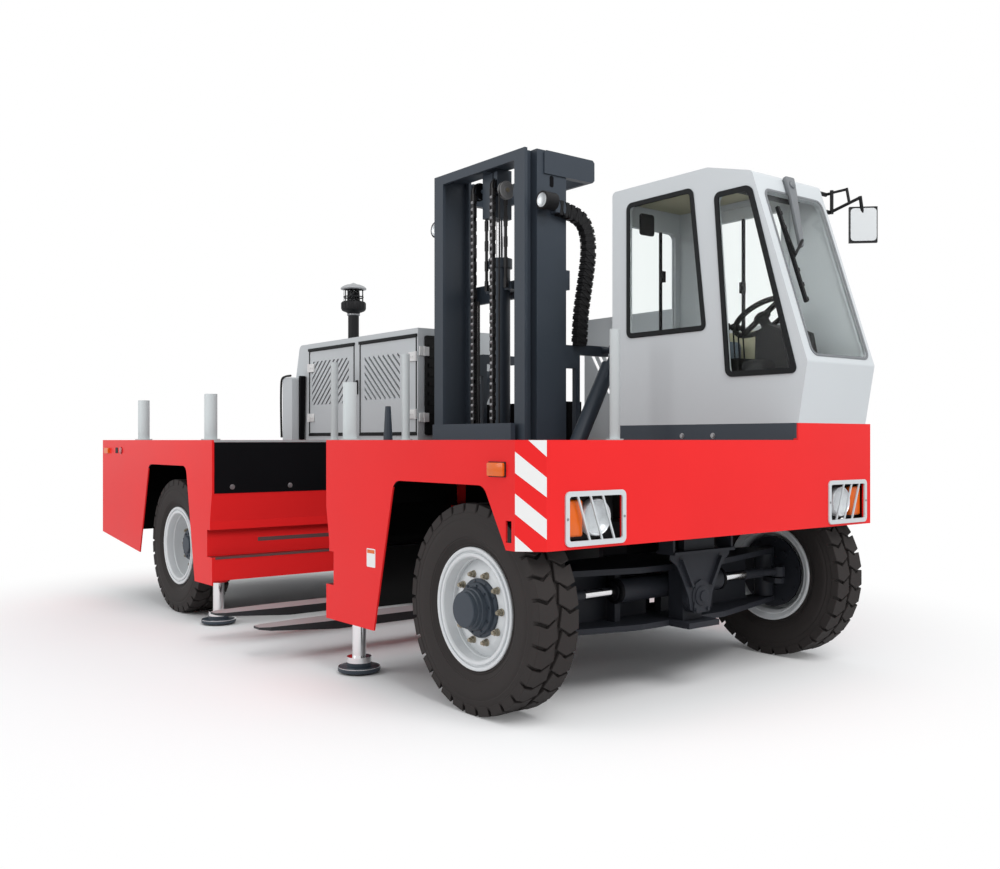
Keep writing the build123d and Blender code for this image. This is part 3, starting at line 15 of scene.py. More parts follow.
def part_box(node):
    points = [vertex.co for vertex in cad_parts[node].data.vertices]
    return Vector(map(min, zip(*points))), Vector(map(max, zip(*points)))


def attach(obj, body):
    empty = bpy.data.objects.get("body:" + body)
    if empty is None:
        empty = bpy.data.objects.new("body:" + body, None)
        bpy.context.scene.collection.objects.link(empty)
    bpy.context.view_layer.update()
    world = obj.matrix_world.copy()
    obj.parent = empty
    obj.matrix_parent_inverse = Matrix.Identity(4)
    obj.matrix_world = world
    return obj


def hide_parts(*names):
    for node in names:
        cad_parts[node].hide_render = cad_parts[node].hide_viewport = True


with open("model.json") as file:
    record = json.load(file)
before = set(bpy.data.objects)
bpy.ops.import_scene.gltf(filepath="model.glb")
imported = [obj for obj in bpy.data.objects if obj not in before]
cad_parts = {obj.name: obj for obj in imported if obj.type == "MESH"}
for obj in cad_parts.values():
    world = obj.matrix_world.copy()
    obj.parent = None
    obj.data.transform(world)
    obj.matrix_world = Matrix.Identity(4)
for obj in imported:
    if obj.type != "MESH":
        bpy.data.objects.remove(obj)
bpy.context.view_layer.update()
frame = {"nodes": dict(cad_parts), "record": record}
nodes = frame["nodes"]

# %% [markdown]
# ## Places to measure from
# A few planes of the machine are used again and again: the two deck edges, the bumper, the middle of the
# mast and the wheels. They are written down once here, so that a piece can be placed from what carries it.

# %% Name the planes
front, rear = 2.9, -2.96
load_side, far_side = -1.325, 1.325
deck = 1.32
well_front, well_rear = 1.085, -0.555
mast_x = 0.265
axle_z = 0.509
wheel_y = 1.138
front_axle_x, rear_axle_x = 2.38, -1.4
cab_side, cab_far = 0.614, 1.273
hood_side = 0.536
to_cab, to_far, to_load, up = (1, 0, 0), (0, 1, 0), (0, -1, 0), (0, 0, 1)
print("body length", round(front - rear, 3), "width", far_side - load_side)

# %% [markdown]
# ## Finishes
# Real paint is never one flat value. Each finish here is a Principled shader whose colour drifts a little
# with a slow noise and whose surface has a very fine bump, which breaks up the highlights. The noise reads
# Object coordinates, because every mesh of the machine keeps its object at the origin.


# %% Helpers for shader nodes and surface finishes
def node(tree, kind, values=None, **settings):
    """A new node, with its settings and the constant values of its inputs."""
    made = tree.nodes.new(kind)
    for key, value in settings.items():
        setattr(made, key, value)
    for key, value in (values or {}).items():
        made.inputs[key].default_value = value
    return made


def joined(tree, operation, first, second):
    """The result of a Math node on two outputs, or on an output and a plain number."""
    made = node(tree, "ShaderNodeMath", operation=operation)
    tree.links.new(first, made.inputs[0])
    if isinstance(second, (int, float)):
        made.inputs[1].default_value = second
    else:
        tree.links.new(second, made.inputs[1])
    return made.outputs[0]


def finish(
    name, color, rough=0.4, metal=0.0, drift=0.06, grain=60.0, bump=0.02, coat=0.0, top=None, gloss=0.5
):
    """A shader with a slow drift in tone, a fine bump and, if asked for, a clear coat or another tone on
    faces that point up.
    """
    made = bpy.data.materials.new(name)
    made.use_nodes = True
    tree = made.node_tree
    shader = tree.nodes["Principled BSDF"]
    shader.inputs["Metallic"].default_value = metal
    shader.inputs["Coat Weight"].default_value = coat
    shader.inputs["Specular IOR Level"].default_value = gloss
    shader.inputs["Coat Roughness"].default_value = 0.12
    place = node(tree, "ShaderNodeTexCoord")
    slow = node(tree, "ShaderNodeTexNoise", {"Scale": 2.3, "Detail": 5.0})
    tree.links.new(place.outputs["Object"], slow.inputs["Vector"])
    dull = (*[c * (1 - drift) for c in color], 1)
    bright = (*[min(1, c * (1 + drift)) for c in color], 1)
    tone = node(tree, "ShaderNodeMix", {6: dull, 7: bright}, data_type="RGBA")
    tree.links.new(slow.outputs["Fac"], tone.inputs[0])
    tree.links.new(tone.outputs[2], shader.inputs["Base Color"])
    # Faces that point up take another colour. On the red paint it is a painted darkening of the deck tops,
    # which keeps their red bounce light off the cab. On the fork steel it is a lighter grey.
    if top:
        facing = node(tree, "ShaderNodeNewGeometry")
        split = node(tree, "ShaderNodeSeparateXYZ")
        level = node(tree, "ShaderNodeMapRange", {"From Min": 0.9, "From Max": 0.98})
        wear_and_up_tone = node(tree, "ShaderNodeMix", {7: (*top, 1)}, data_type="RGBA")
        tree.links.new(facing.outputs["Normal"], split.inputs[0])
        tree.links.new(split.outputs["Z"], level.inputs["Value"])
        tree.links.new(level.outputs["Result"], wear_and_up_tone.inputs[0])
        tree.links.new(tone.outputs[2], wear_and_up_tone.inputs[6])
        tree.links.new(wear_and_up_tone.outputs[2], shader.inputs["Base Color"])
    span = node(tree, "ShaderNodeMapRange", {"To Min": rough * 0.85, "To Max": min(1, rough * 1.15)})
    tree.links.new(slow.outputs["Fac"], span.inputs["Value"])
    tree.links.new(span.outputs["Result"], shader.inputs["Roughness"])
    if bump:
        fine = node(tree, "ShaderNodeTexNoise", {"Scale": grain, "Detail": 3.0})
        relief = node(tree, "ShaderNodeBump", {"Strength": bump, "Distance": 0.002})
        tree.links.new(place.outputs["Object"], fine.inputs["Vector"])
        tree.links.new(fine.outputs["Fac"], relief.inputs["Height"])
        tree.links.new(relief.outputs["Normal"], shader.inputs["Normal"])
    return made


# The red is dark on faces that point up: a painted darkening that keeps the decks' red bounce light off the
# cab.
red_paint = finish(
    "red_paint", (0.80, 0.020, 0.021), rough=0.3, drift=0.05, bump=0, top=(0.10, 0.02, 0.02), gloss=0.14
)
white_paint = finish("white_paint", (0.58, 0.61, 0.625), rough=0.36, drift=0.02, bump=0, gloss=0.3)
slate_paint = finish(
    "slate_paint", (0.038, 0.049, 0.064), rough=0.42, drift=0.08, grain=90, bump=0.03, gloss=0.3
)
axle_paint = finish("axle_paint", (0.020, 0.022, 0.028), rough=0.5, drift=0.15, grain=80, bump=0.1, gloss=0.2)
black_paint = finish(
    "black_paint", (0.004, 0.004, 0.005), rough=0.5, drift=0.2, grain=120, bump=0.04, gloss=0.06
)
black_plastic = finish(
    "black_plastic", (0.010, 0.010, 0.011), rough=0.5, drift=0.1, grain=200, bump=0.05, gloss=0.2
)
rubber = finish("tyre_rubber", (0.027, 0.023, 0.022), rough=0.72, drift=0.3, grain=70, bump=0.25, gloss=0.22)
seal_rubber = finish(
    "seal_rubber", (0.006, 0.007, 0.008), rough=0.5, drift=0.1, grain=150, bump=0.03, gloss=0.15
)
rim_paint = finish("rim_paint", (0.66, 0.68, 0.69), rough=0.4, drift=0.08, grain=60, bump=0.05)
chrome = finish("chrome", (0.78, 0.78, 0.79), rough=0.12, metal=1.0, drift=0.03, bump=0.0)
brass_nut = finish("nut_zinc", (0.30, 0.265, 0.20), rough=0.4, metal=0.6, drift=0.15, grain=120, bump=0.06)
chain_steel = finish("chain_steel", (0.022, 0.021, 0.022), rough=0.45, metal=0.5, drift=0.2, bump=0.05)
# The fork steel is a lighter grey on faces that point up.
fork_steel = finish(
    "fork_steel", (0.022, 0.024, 0.027), rough=0.5, metal=0.3, drift=0.15, bump=0.05, top=(0.42, 0.42, 0.43)
)
mirror_face = finish("mirror_face", (0.62, 0.64, 0.65), rough=0.25, metal=0.3, drift=0.05, bump=0)
engine_paint = finish("engine_paint", (0.07, 0.075, 0.08), rough=0.6, drift=0.2, bump=0.15)
bolt_steel = finish("bolt_steel", (0.30, 0.30, 0.31), rough=0.38, metal=0.8, drift=0.1, bump=0.03)
amber = finish("amber_lens", (0.74, 0.13, 0.008), rough=0.2, drift=0.05, bump=0.0, coat=0.2, gloss=0.3)
lamp_silver = finish("lamp_silver", (0.80, 0.81, 0.82), rough=0.12, metal=1.0, drift=0.02, bump=0.0)
trim_beige = finish("trim_beige", (0.46, 0.44, 0.30), rough=0.7, drift=0.05, bump=0.08)
plain_white = finish("plain_white", (0.80, 0.80, 0.79), rough=0.45, drift=0.02, bump=0.0)
stake_white = finish("stake_white", (0.58, 0.62, 0.625), rough=0.4, drift=0.02, bump=0)
reflector_red = finish("reflector_red", (0.35, 0.006, 0.01), rough=0.15, drift=0.05, bump=0, coat=0.4)
lamp_bright = finish("lamp_bright", (0.72, 0.74, 0.76), rough=0.3, metal=0.5, drift=0.05, bump=0)
sheave_grey = finish("sheave_grey", (0.22, 0.22, 0.22), rough=0.55, drift=0.25, grain=160, bump=0.1)
wiper_grey = finish("wiper_grey", (0.16, 0.17, 0.18), rough=0.45, drift=0.1, bump=0.02)
wear_strip = finish("wear_strip", (0.105, 0.055, 0.055), rough=0.6, drift=0.2, bump=0.1)
grey_trim = finish("grey_trim", (0.42, 0.43, 0.44), rough=0.4, metal=0.4, drift=0.1, bump=0.02)
seat_blue = finish("seat_cloth", (0.10, 0.13, 0.16), rough=0.8, drift=0.1, grain=220, bump=0.1)
print("finishes:", len(bpy.data.materials))

# %% [markdown]
# Glass needs little: a clear shader that lets the light through. A touch of green-grey tint and a low
# roughness are enough, because the panes are thin.


# %% Clear panes
def clear_pane(name, color, rough):
    """A thin clear pane: it lets light through and keeps a soft reflection."""
    made = bpy.data.materials.new(name)
    made.use_nodes = True
    shader = made.node_tree.nodes["Principled BSDF"]
    shader.inputs["Base Color"].default_value = (*color, 1)
    shader.inputs["Roughness"].default_value = rough
    shader.inputs["Transmission Weight"].default_value = 1.0
    shader.inputs["IOR"].default_value = 1.10
    return made


pane_glass = clear_pane("pane_glass", (0.94, 0.965, 0.96), 0.02)
lens_glass = clear_pane("lens_glass", (0.97, 0.98, 0.98), 0.05)
print("panes:", pane_glass.name, lens_glass.name)

# %% [markdown]
# ## Give every solid its finish
# The record of the CAD model names a material slot for every solid. A small table turns that name into one
# of the finishes above, so that no solid is forgotten.

# %% Paint the solids
by_slot = {
    "red_paint": red_paint, "white_paint": white_paint, "slate_paint": slate_paint,
    "black_paint": black_paint, "engine_paint": engine_paint, "rim_paint": rim_paint,
    "tyre_rubber": rubber, "bright_rod": chrome, "clear_glass": pane_glass, "seat_vinyl": seat_blue,
    "black_plastic": black_plastic, "lamp_lens": black_plastic, "chain_steel": chain_steel,
    "fork_steel": fork_steel,
}
for entry in frame["record"]["subparts"]:
    mesh = nodes[entry["node"]].data
    mesh.materials.clear()
    mesh.materials.append(by_slot[entry["material_slot"]])


def painted_shade_inside(name, source, rules):
    """A copy of a paint with painted shade, black where all of a rule holds: (normal or place, axis, sign,
    limit).
    """
    made = source.copy()
    made.name = name
    tree = made.node_tree
    shader = tree.nodes["Principled BSDF"]
    painted = shader.inputs["Base Color"].links[0].from_socket
    facing = node(tree, "ShaderNodeSeparateXYZ")
    tree.links.new(node(tree, "ShaderNodeNewGeometry").outputs["Normal"], facing.inputs[0])
    place = node(tree, "ShaderNodeSeparateXYZ")
    tree.links.new(node(tree, "ShaderNodeTexCoord").outputs["Object"], place.inputs[0])
    total = None
    for rule in rules:
        passed = None
        for measure, axis, sign, limit in rule:
            value = (facing if measure == "normal" else place).outputs[axis]
            test = joined(tree, "GREATER_THAN" if sign > 0 else "LESS_THAN", value, limit)
            passed = joined(tree, "MULTIPLY", passed, test) if passed else test
        total = joined(tree, "MAXIMUM", total, passed) if total else passed
    mix = node(tree, "ShaderNodeMix", {7: (0.004, 0.004, 0.004, 1)}, data_type="RGBA")
    tree.links.new(total, mix.inputs[0])
    tree.links.new(painted, mix.inputs[6])
    tree.links.new(mix.outputs[2], shader.inputs["Base Color"])
    return made


# Painted shade: black on the undersides and the inner faces of the skirts, the bumper and the well walls
body_red_painted_shade = painted_shade_inside("body_red_painted_shade", red_paint, [
    [("normal", 2, -1, -0.5)],
    [("normal", 1, 1, 0.5), ("place", 1, -1, -1.30)],
    [("normal", 1, -1, -0.5), ("place", 1, 1, 1.30)],
    [("normal", 0, -1, -0.5), ("place", 0, 1, 2.80)],
    [("normal", 0, 1, 0.5), ("place", 0, -1, -2.90)],
])
# Painted shade on the frame: black on its undersides, on the faces that look away from the well and on all of
# it beyond the well
frame_red_painted_shade = painted_shade_inside("frame_red_painted_shade", red_paint, [
    [("normal", 0, 1, 0.5), ("place", 0, 1, 1.0)],
    [("normal", 0, -1, -0.5), ("place", 0, -1, -0.5)],
    [("place", 0, 1, 1.19)],
    [("place", 0, -1, -0.66)],
    [("normal", 2, -1, -0.5)],
])
axle_nodes = ("front_axle", "axle_hangers", "steering_barrel", "knuckle_right", "knuckle_left", "rear_axle")
repaint = {name: axle_paint for name in axle_nodes}
repaint["tilt_rods"] = slate_paint
repaint["front_body"] = repaint["rear_body"] = body_red_painted_shade
repaint["chassis_frame"] = frame_red_painted_shade
repaint["stakes"] = stake_white
repaint["mirror"] = black_plastic
for name, paint in repaint.items():
    nodes[name].data.materials.clear()
    nodes[name].data.materials.append(paint)
print("painted", len(nodes), "solids")

# %% [markdown]
# ## Tools for new pieces
# A new piece starts as a bmesh, which holds vertices and faces while we shape them. Three helpers are
# used all through the lesson: one adds a block between two corners, one adds a round bar between two
# points and one turns a profile round an axis, as a lathe does. The last two make the finished object.


# %% Helpers for shapes
def block(shape, low, high):
    """A block between two corners."""
    low, high = Vector(low), Vector(high)
    move = Matrix.Translation((low + high) / 2) @ Matrix.Diagonal((*(high - low), 1))
    bmesh.ops.create_cube(shape, size=1, matrix=move)


def towards(start, end):
    """The matrix that takes the Z axis onto the line between two points."""
    start, end = Vector(start), Vector(end)
    return Matrix.Translation((start + end) / 2) @ (end - start).to_track_quat("Z", "Y").to_matrix().to_4x4()


def round_bar(shape, start, end, radius, sides=24):
    """A round bar between two points."""
    depth = (Vector(end) - Vector(start)).length
    bmesh.ops.create_cone(
        shape, cap_ends=True, segments=sides, radius1=radius, radius2=radius, depth=depth,
        matrix=towards(start, end),
    )


def lathe(shape, profile, centre, axis, steps=48):
    """Turns (along, radius) pairs round an axis through the centre."""
    axis = Vector(axis).normalized()
    side = axis.orthogonal().normalized()
    centre = Vector(centre)
    ring = [shape.verts.new(centre + axis * along + side * max(out, 0.0)) for along, out in profile]
    edges = [shape.edges.new(pair) for pair in zip(ring, ring[1:])]
    bmesh.ops.spin(
        shape, geom=ring + edges, cent=centre, axis=axis, angle=2 * pi, steps=steps, use_merge=True
    )
    bmesh.ops.remove_doubles(shape, verts=shape.verts[:], dist=1e-6)


def soften(shape, width, segments=2, angle=30):
    """Rounds the sharp edges of a shape."""
    sharp = [e for e in shape.edges if e.is_manifold and e.calc_face_angle(0) > radians(angle)]
    bmesh.ops.bevel(
        shape, geom=sharp, offset=width, segments=segments, affect="EDGES", profile=0.5, material=-1,
        clamp_overlap=True,
    )


def add(shape, extra):
    """Adds one shape to another and frees it."""
    part = bpy.data.meshes.new("part")
    extra.to_mesh(part)
    extra.free()
    shape.from_mesh(part)
    bpy.data.meshes.remove(part)


def piece(name, shape, material, body="root", stands_for=(), smooth=35):
    """Makes the object, gives it its finish and lets it ride on its body."""
    bmesh.ops.recalc_face_normals(shape, faces=shape.faces[:])
    mesh = bpy.data.meshes.new(name)
    shape.to_mesh(mesh)
    shape.free()
    for side in mesh.polygons:
        side.use_smooth = True
    mesh.set_sharp_from_angle(angle=radians(smooth))
    made = bpy.data.objects.new(name, mesh)
    bpy.context.scene.collection.objects.link(made)
    mesh.materials.append(material)
    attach(made, body)
    if stands_for:
        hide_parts(*stands_for)
    print(name, "has", len(mesh.polygons), "faces")
    return made


def boxes(name, pairs, material, body="root", soft=0.0, segments=1, smooth=30):
    """A piece of blocks between pairs of corners, with its edges rounded if asked for."""
    shape = bmesh.new()
    for low, high in pairs:
        block(shape, low, high)
    if soft:
        soften(shape, soft, segments)
    return piece(name, shape, material, body, smooth=smooth)


print("helpers ready")


# %% [markdown]
# Hoses and bent tubes follow a curve. A Blender curve with a bevel depth is the plain way to get a round
# tube, and it is turned into a mesh at once, like every other piece.


# %% Helpers for curves and hoses
def curve_mesh(runs, order, resolution, radius=0.0, sides=8):
    """The mesh of smooth curves through lists of points: plain lines or, with a radius, round tubes."""
    line = bpy.data.curves.new("route", "CURVE")
    line.dimensions = "3D"
    line.resolution_u = resolution
    if radius:
        line.bevel_depth = radius
        line.bevel_resolution = max(1, sides // 4)
        line.use_fill_caps = True
    for points in runs:
        spline = line.splines.new("NURBS")
        spline.points.add(len(points) - 1)
        for point, place in zip(spline.points, points):
            point.co = (*place, 1)
        spline.order_u = min(order, len(points))
        spline.use_endpoint_u = True
    draft = bpy.data.objects.new("route", line)
    bpy.context.scene.collection.objects.link(draft)
    bpy.context.view_layer.update()
    mesh = bpy.data.meshes.new_from_object(draft.evaluated_get(bpy.context.evaluated_depsgraph_get()))
    bpy.data.objects.remove(draft)
    return mesh


def hose(name, runs, radius, material, body="root", sides=8):
    """A piece of round tubes along smooth curves."""
    shape = bmesh.new()
    shape.from_mesh(curve_mesh(runs, 4, 8, radius, sides))
    return piece(name, shape, material, body)


print("curve helpers ready")

# %% [markdown]
# ## Tyres
# These are traction tyres with deep chevron blocks that meet the shoulder. One block is made and bevelled,
# and then copied round the tyre by small turns, once for each half of the tread. The carcass is turned on
# the lathe from a profile with the ribs that a real side wall has. It stands for the CAD tyre.

# %% Turn the tyres
tyre_profile = [
    (-0.090, 0.2545), (-0.0965, 0.300), (-0.1005, 0.303), (-0.1010, 0.309), (-0.0985, 0.312),
    (-0.1120, 0.335),
    (-0.1150, 0.338), (-0.1150, 0.343), (-0.1185, 0.347), (-0.1235, 0.380), (-0.1250, 0.405),
    (-0.1250, 0.425),
    (-0.1235, 0.428), (-0.1235, 0.434), (-0.1250, 0.437), (-0.1200, 0.470), (-0.1080, 0.4850),
    (-0.06, 0.4885),
    (0, 0.4895),
]
tyre_profile = tyre_profile + [(-along, out) for along, out in reversed(tyre_profile[:-1])]
wheels = {
    "front_right": (front_axle_x, -wheel_y), "front_left": (front_axle_x, wheel_y),
    "rear_right": (rear_axle_x, -wheel_y), "rear_left": (rear_axle_x, wheel_y),
}
blocks_round = 30
half_block = 0.0440
# Across the tread from the middle to the shoulder: (distance out, shift round the tyre)
zigzag = [(0.003, -0.014), (0.066, 0.022), (0.119, 0.002)]


def tread_block(half, slant):
    """One rubber block: its outline lies flat, is pulled down to the carcass and its edges are softened."""
    one = bmesh.new()
    shift = [(out, along - half_block) for out, along in zigzag]
    back = [(out, along + half_block) for out, along in reversed(zigzag)]
    shift[0] = (shift[0][0] + slant, shift[0][1])
    face = one.faces.new([one.verts.new((along, half * out, 0)) for out, along in shift + back])
    sunk = bmesh.ops.extrude_face_region(one, geom=[face])["geom"]
    for v in sunk:
        if isinstance(v, bmesh.types.BMVert):
            v.co.z = -0.046
            v.co.x *= 0.93
            if abs(v.co.y) > 0.1:
                v.co.y = half * 0.1245
    bmesh.ops.recalc_face_normals(one, faces=one.faces[:])
    soften(one, 0.0028, segments=1)
    return one


for name, (x, y) in wheels.items():
    shape = bmesh.new()
    lathe(shape, tyre_profile + tyre_profile[:1], (x, y, axle_z), to_far, steps=72)
    for half in (-1, 1):
        for count in range(blocks_round):
            one = tread_block(half, 0.016)
            turn = Matrix.Rotation(2 * pi * (count + 0.25 + 0.25 * half) / blocks_round, 4, "Y")
            one.transform(Matrix.Translation((x, y, axle_z)) @ turn @ Matrix.Translation((0, 0, 0.5068)))
            add(shape, one)
    piece(f"tread_{name}", shape, rubber, f"wheel_{name}", [f"tyre_{name}"], smooth=30)

# %% [markdown]
# ## Small helpers for fittings
# Hex bolts, rubber seals and thin plates come back many times. A bolt is a six-sided bar on a washer. A seal
# is a flat outline whose corners are rounded with a vertex bevel, inset to leave a ring and then extruded.


# %% Helpers for bolts, seals and plates
def bolts(shape, places, out, radius=0.012, height=0.010):
    """Hex heads with washers, which point along one direction."""
    out = Vector(out).normalized()
    for place in places:
        place = Vector(place)
        round_bar(shape, place, place + out * height * 0.25, radius * 1.35, 12)
        round_bar(shape, place, place + out * height, radius, 6)


def seal(shape, outline, out, width, depth, corner=0.045, soft=0.0):
    """A ring of one width inside an outline, as high as its depth."""
    out = Vector(out).normalized()
    plate = bmesh.new()
    face = plate.faces.new([plate.verts.new(point) for point in outline])
    face.normal_update()
    if face.normal.dot(out) < 0:
        bmesh.ops.reverse_faces(plate, faces=[face])
    if corner:
        bmesh.ops.bevel(
            plate, geom=plate.verts[:], offset=corner, segments=6, affect="VERTICES", profile=0.5, material=-1
        )
    plate.faces.ensure_lookup_table()
    inner = plate.faces[0]
    bmesh.ops.inset_region(plate, faces=[inner], thickness=width, use_even_offset=True, use_boundary=True)
    bmesh.ops.delete(plate, geom=[inner], context="FACES_ONLY")
    lifted = bmesh.ops.extrude_face_region(plate, geom=plate.faces[:])["geom"]
    for v in lifted:
        if isinstance(v, bmesh.types.BMVert):
            v.co += out * depth
    bmesh.ops.recalc_face_normals(plate, faces=plate.faces[:])
    if soft:
        soften(plate, soft, segments=1)
    add(shape, plate)


def slab(shape, outline, out, depth, corner=0.0):
    """A flat plate with an outline, thickened along one direction."""
    out = Vector(out).normalized()
    plate = bmesh.new()
    plate.faces.new([plate.verts.new(point) for point in outline])
    if corner:
        bmesh.ops.bevel(
            plate, geom=plate.verts[:], offset=corner, segments=5, affect="VERTICES", profile=0.5, material=-1
        )
    for v in bmesh.ops.extrude_face_region(plate, geom=plate.faces[:])["geom"]:
        if isinstance(v, bmesh.types.BMVert):
            v.co += out * depth
    bmesh.ops.recalc_face_normals(plate, faces=plate.faces[:])
    add(shape, plate)


def around(centre, axis, radius, count, turn=0.0):
    """Places at even steps round a circle."""
    axis = Vector(axis).normalized()
    side = axis.orthogonal().normalized()
    return [
        Vector(centre) + Matrix.Rotation(2 * pi * (step + turn) / count, 3, axis) @ side * radius
        for step in range(count)
    ]


def bolt_ring(shape, centre, out, ring, count, radius, height, turn=0.0):
    """Bolts at even steps round a circle."""
    bolts(shape, around(centre, out, ring, count, turn), out, radius, height)


def across_x(x, low, high):
    """An upright rectangle across the machine, from its low to its high corner in y and z."""
    return [(x, *low), (x, high[0], low[1]), (x, *high), (x, low[0], high[1])]


def across_y(y, low, high):
    """An upright rectangle along the machine, from its low to its high corner in x and z."""
    return [(low[0], y, low[1]), (high[0], y, low[1]), (high[0], y, high[1]), (low[0], y, high[1])]


print("fitting helpers ready")

# %% [markdown]
# ## Wheel hubs and nuts
# Each wheel is held by ten nuts on a flat ring. The front hubs stand proud and carry a cap, the rear ones
# lie in a deep dish with the drive flange and its many small bolts. The hubs are turned on the lathe.

# %% Hubs, flanges and wheel nuts
nut_seat = [(0, 0), (0, 0.0185), (0.004, 0.0185), (0.006, 0.016)]
front_hub = [
    (0, 0.0), (0, 0.143), (0.010, 0.143), (0.014, 0.139), (0.016, 0.127), (0.032, 0.125), (0.036, 0.120),
    (0.038, 0.106), (0.060, 0.102), (0.064, 0.096), (0.080, 0.094), (0.083, 0.0865), (0.102, 0.085),
    (0.106, 0.081), (0.107, 0.0),
]
rear_hub = [
    (0, 0.0), (0, 0.150), (0.012, 0.150), (0.016, 0.146), (0.018, 0.118), (0.050, 0.114), (0.055, 0.108),
    (0.057, 0.070), (0.072, 0.066), (0.076, 0.060), (0.077, 0.0),
]
# The nuts' seat from the middle, the profile, and rings of bolts: (lift, ring, count, radius, height, turn)
hubs = {
    "front": (
        1.198, front_hub, [(0.0375, 0.113, 10, 0.006, 0.006, 0), (0.013, 0.133, 10, 0.005, 0.005, 0.5)]
    ),
    "rear": (1.108, rear_hub, [(0.0165, 0.132, 14, 0.0075, 0.008, 0), (0.056, 0.088, 10, 0.0075, 0.008, 0)]),
}
for name, (x, y) in wheels.items():
    seat, profile, rings = hubs[name.split("_")[0]]
    out = Vector((0, 1 if y > 0 else -1, 0))
    centre = Vector((x, 0, axle_z)) + out * seat
    shape = bmesh.new()
    for place in around(centre, out, 0.1675, 10, 0.75):
        lathe(shape, nut_seat, place, out, 16)
        round_bar(shape, place, place + out * 0.022, 0.0155, 6)
        round_bar(shape, place + out * 0.022, place + out * 0.034, 0.0095, 12)
    piece(f"nuts_{name}", shape, brass_nut, f"wheel_{name}", smooth=30)
    shape = bmesh.new()
    lathe(shape, profile, centre, out, 48)
    for lift, ring, count, radius, height, turn in rings:
        bolt_ring(shape, centre + out * lift, out, ring, count, radius, height, turn)
    piece(f"hub_{name}", shape, slate_paint, f"wheel_{name}", smooth=30)

# %% [markdown]
# The rim is one turned section: bead seats, a pressed lip with a lock ring and its groove, the well and the
# dished disc. It stands for the plainer CAD rim and keeps its width, lip and disc.

# %% Turn the rims
for name, (x, y) in wheels.items():
    out = 1 if y > 0 else -1
    disc = 0.060 if "front" in name else -0.030
    half = 0.108
    section = [
        (-0.070, 0.238), (-0.084, 0.246), (-0.100, 0.270), (-half, 0.284), (-half, 0.2935), (-0.104, 0.297),
        (-0.096, 0.297), (-0.094, 0.254), (0.094, 0.254),
        (0.096, 0.2965), (0.104, 0.297), (half, 0.2935), (half, 0.286), (0.104, 0.2795), (0.094, 0.278),
        (0.092, 0.273), (0.094, 0.269), (0.106, 0.267), (half, 0.262), (0.1065, 0.253), (0.100, 0.247),
        (0.086, 0.2445), (0.050, 0.2415), (0.046, 0.238), (max(disc - 0.034, -0.060), 0.2385),
        (disc - 0.012, 0.197),
        (disc - 0.003, 0.186), (disc, 0.178), (disc, 0.054), (disc - 0.016, 0.054), (disc - 0.016, 0.175),
        (max(disc - 0.050, -0.066), 0.232),
    ]
    shape = bmesh.new()
    lathe(shape, section + section[:1], (x, y, axle_z), (0, out, 0), 72)
    piece(f"rim_skin_{name}", shape, rim_paint, f"wheel_{name}", [f"rim_{name}"], smooth=28)

# %% [markdown]
# ## Front axle fittings
# Everything on the front axle shows from the front: the long pin with its lug, the glands of the steering
# cylinder, bolts on the hangers and the brake plates.

# %% Pin, glands and bolts of the front axle
shape = bmesh.new()
pin = Vector((2.72, 0, 0.4975))
pin_nut = [(0, 0), (0.016, 0.052), (0.022, 0.052), (0.026, 0.046), (0.028, 0.030), (0.036, 0.028), (0.037, 0)]
pin_flange = [(0, 0), (0, 0.068), (0.012, 0.068), (0.016, 0.064), (0.016, 0.046), (0.026, 0.044), (0.028, 0)]
for profile in (pin_nut, pin_flange):
    lathe(shape, profile, pin, to_cab, 36)
lug = [
    (0.235, 0.727), (0.235, 0.704), (0.180, 0.665), (0.130, 0.575), (0.094, 0.50), (0.080, 0.43),
    (0.050, 0.415)
]
lug = [(y, z) for y, z in lug] + [(-y, z) for y, z in reversed(lug)]
slab(shape, [(2.7195, y, z) for y, z in lug], to_cab, 0.008, 0.006)
for y in (-0.150, 0.150):
    slab(
        shape,
        [(2.727, y * 0.45, 0.555), (2.727, y, 0.700), (2.727, y * 1.08, 0.700), (2.727, y * 0.55, 0.548)],
        to_cab, 0.022
    )
face = [(-0.062, 0.41), (0.062, 0.41), (0.050, 0.565), (0.0, 0.585), (-0.050, 0.565)]
slab(shape, [(2.7275, y, z) for y, z in face], to_cab, 0.010, 0.008)
bolts(shape, [(2.7375, -0.046, 0.425), (2.7375, 0.046, 0.425)], to_cab, 0.010, 0.009)
bolts(shape, [(2.72, y, z) for y in (-0.155, 0.155) for z in (0.665, 0.70)], to_cab, 0.013, 0.010)
piece("axle_pin_cap", shape, axle_paint, "root", smooth=30)

# The steering cylinder lies across the machine, and its rod ends in a joint at each knuckle
cylinder_x, cylinder_z = 2.501, 0.532
joint_x, joint_y = 2.530, 0.933
gland = [
    (-0.012, 0.0), (-0.012, 0.066), (0.006, 0.066), (0.010, 0.060), (0.010, 0.050), (0.024, 0.048),
    (0.026, 0.040), (0.026, 0),
]
shape = bmesh.new()
for side in (-1, 1):
    lathe(shape, gland, (cylinder_x, side * 0.41, cylinder_z), (0, side, 0), 32)
    bolt_ring(shape, (cylinder_x, side * 0.42, cylinder_z), (0, side, 0), 0.055, 6, 0.005, 0.005)
piece("steering_glands", shape, black_paint, "root", smooth=30)
shape = bmesh.new()
for side in (-1, 1):
    y = side * joint_y
    round_bar(
        shape, (cylinder_x, side * 0.640, cylinder_z), (cylinder_x, side * 0.797, cylinder_z), 0.0285, 28
    )
    round_bar(shape, (cylinder_x, side * 0.790, cylinder_z), (joint_x, y, cylinder_z), 0.0225, 20)
    round_bar(shape, (joint_x, y, cylinder_z - 0.028), (joint_x, y, cylinder_z + 0.028), 0.0395, 28)
piece("rod_ends", shape, axle_paint, "steering_rod", smooth=30)

# %% [markdown]
# The two brake plates sit behind the wheels and turn with them. Each has two rings of bolts and a round
# inspection plug.

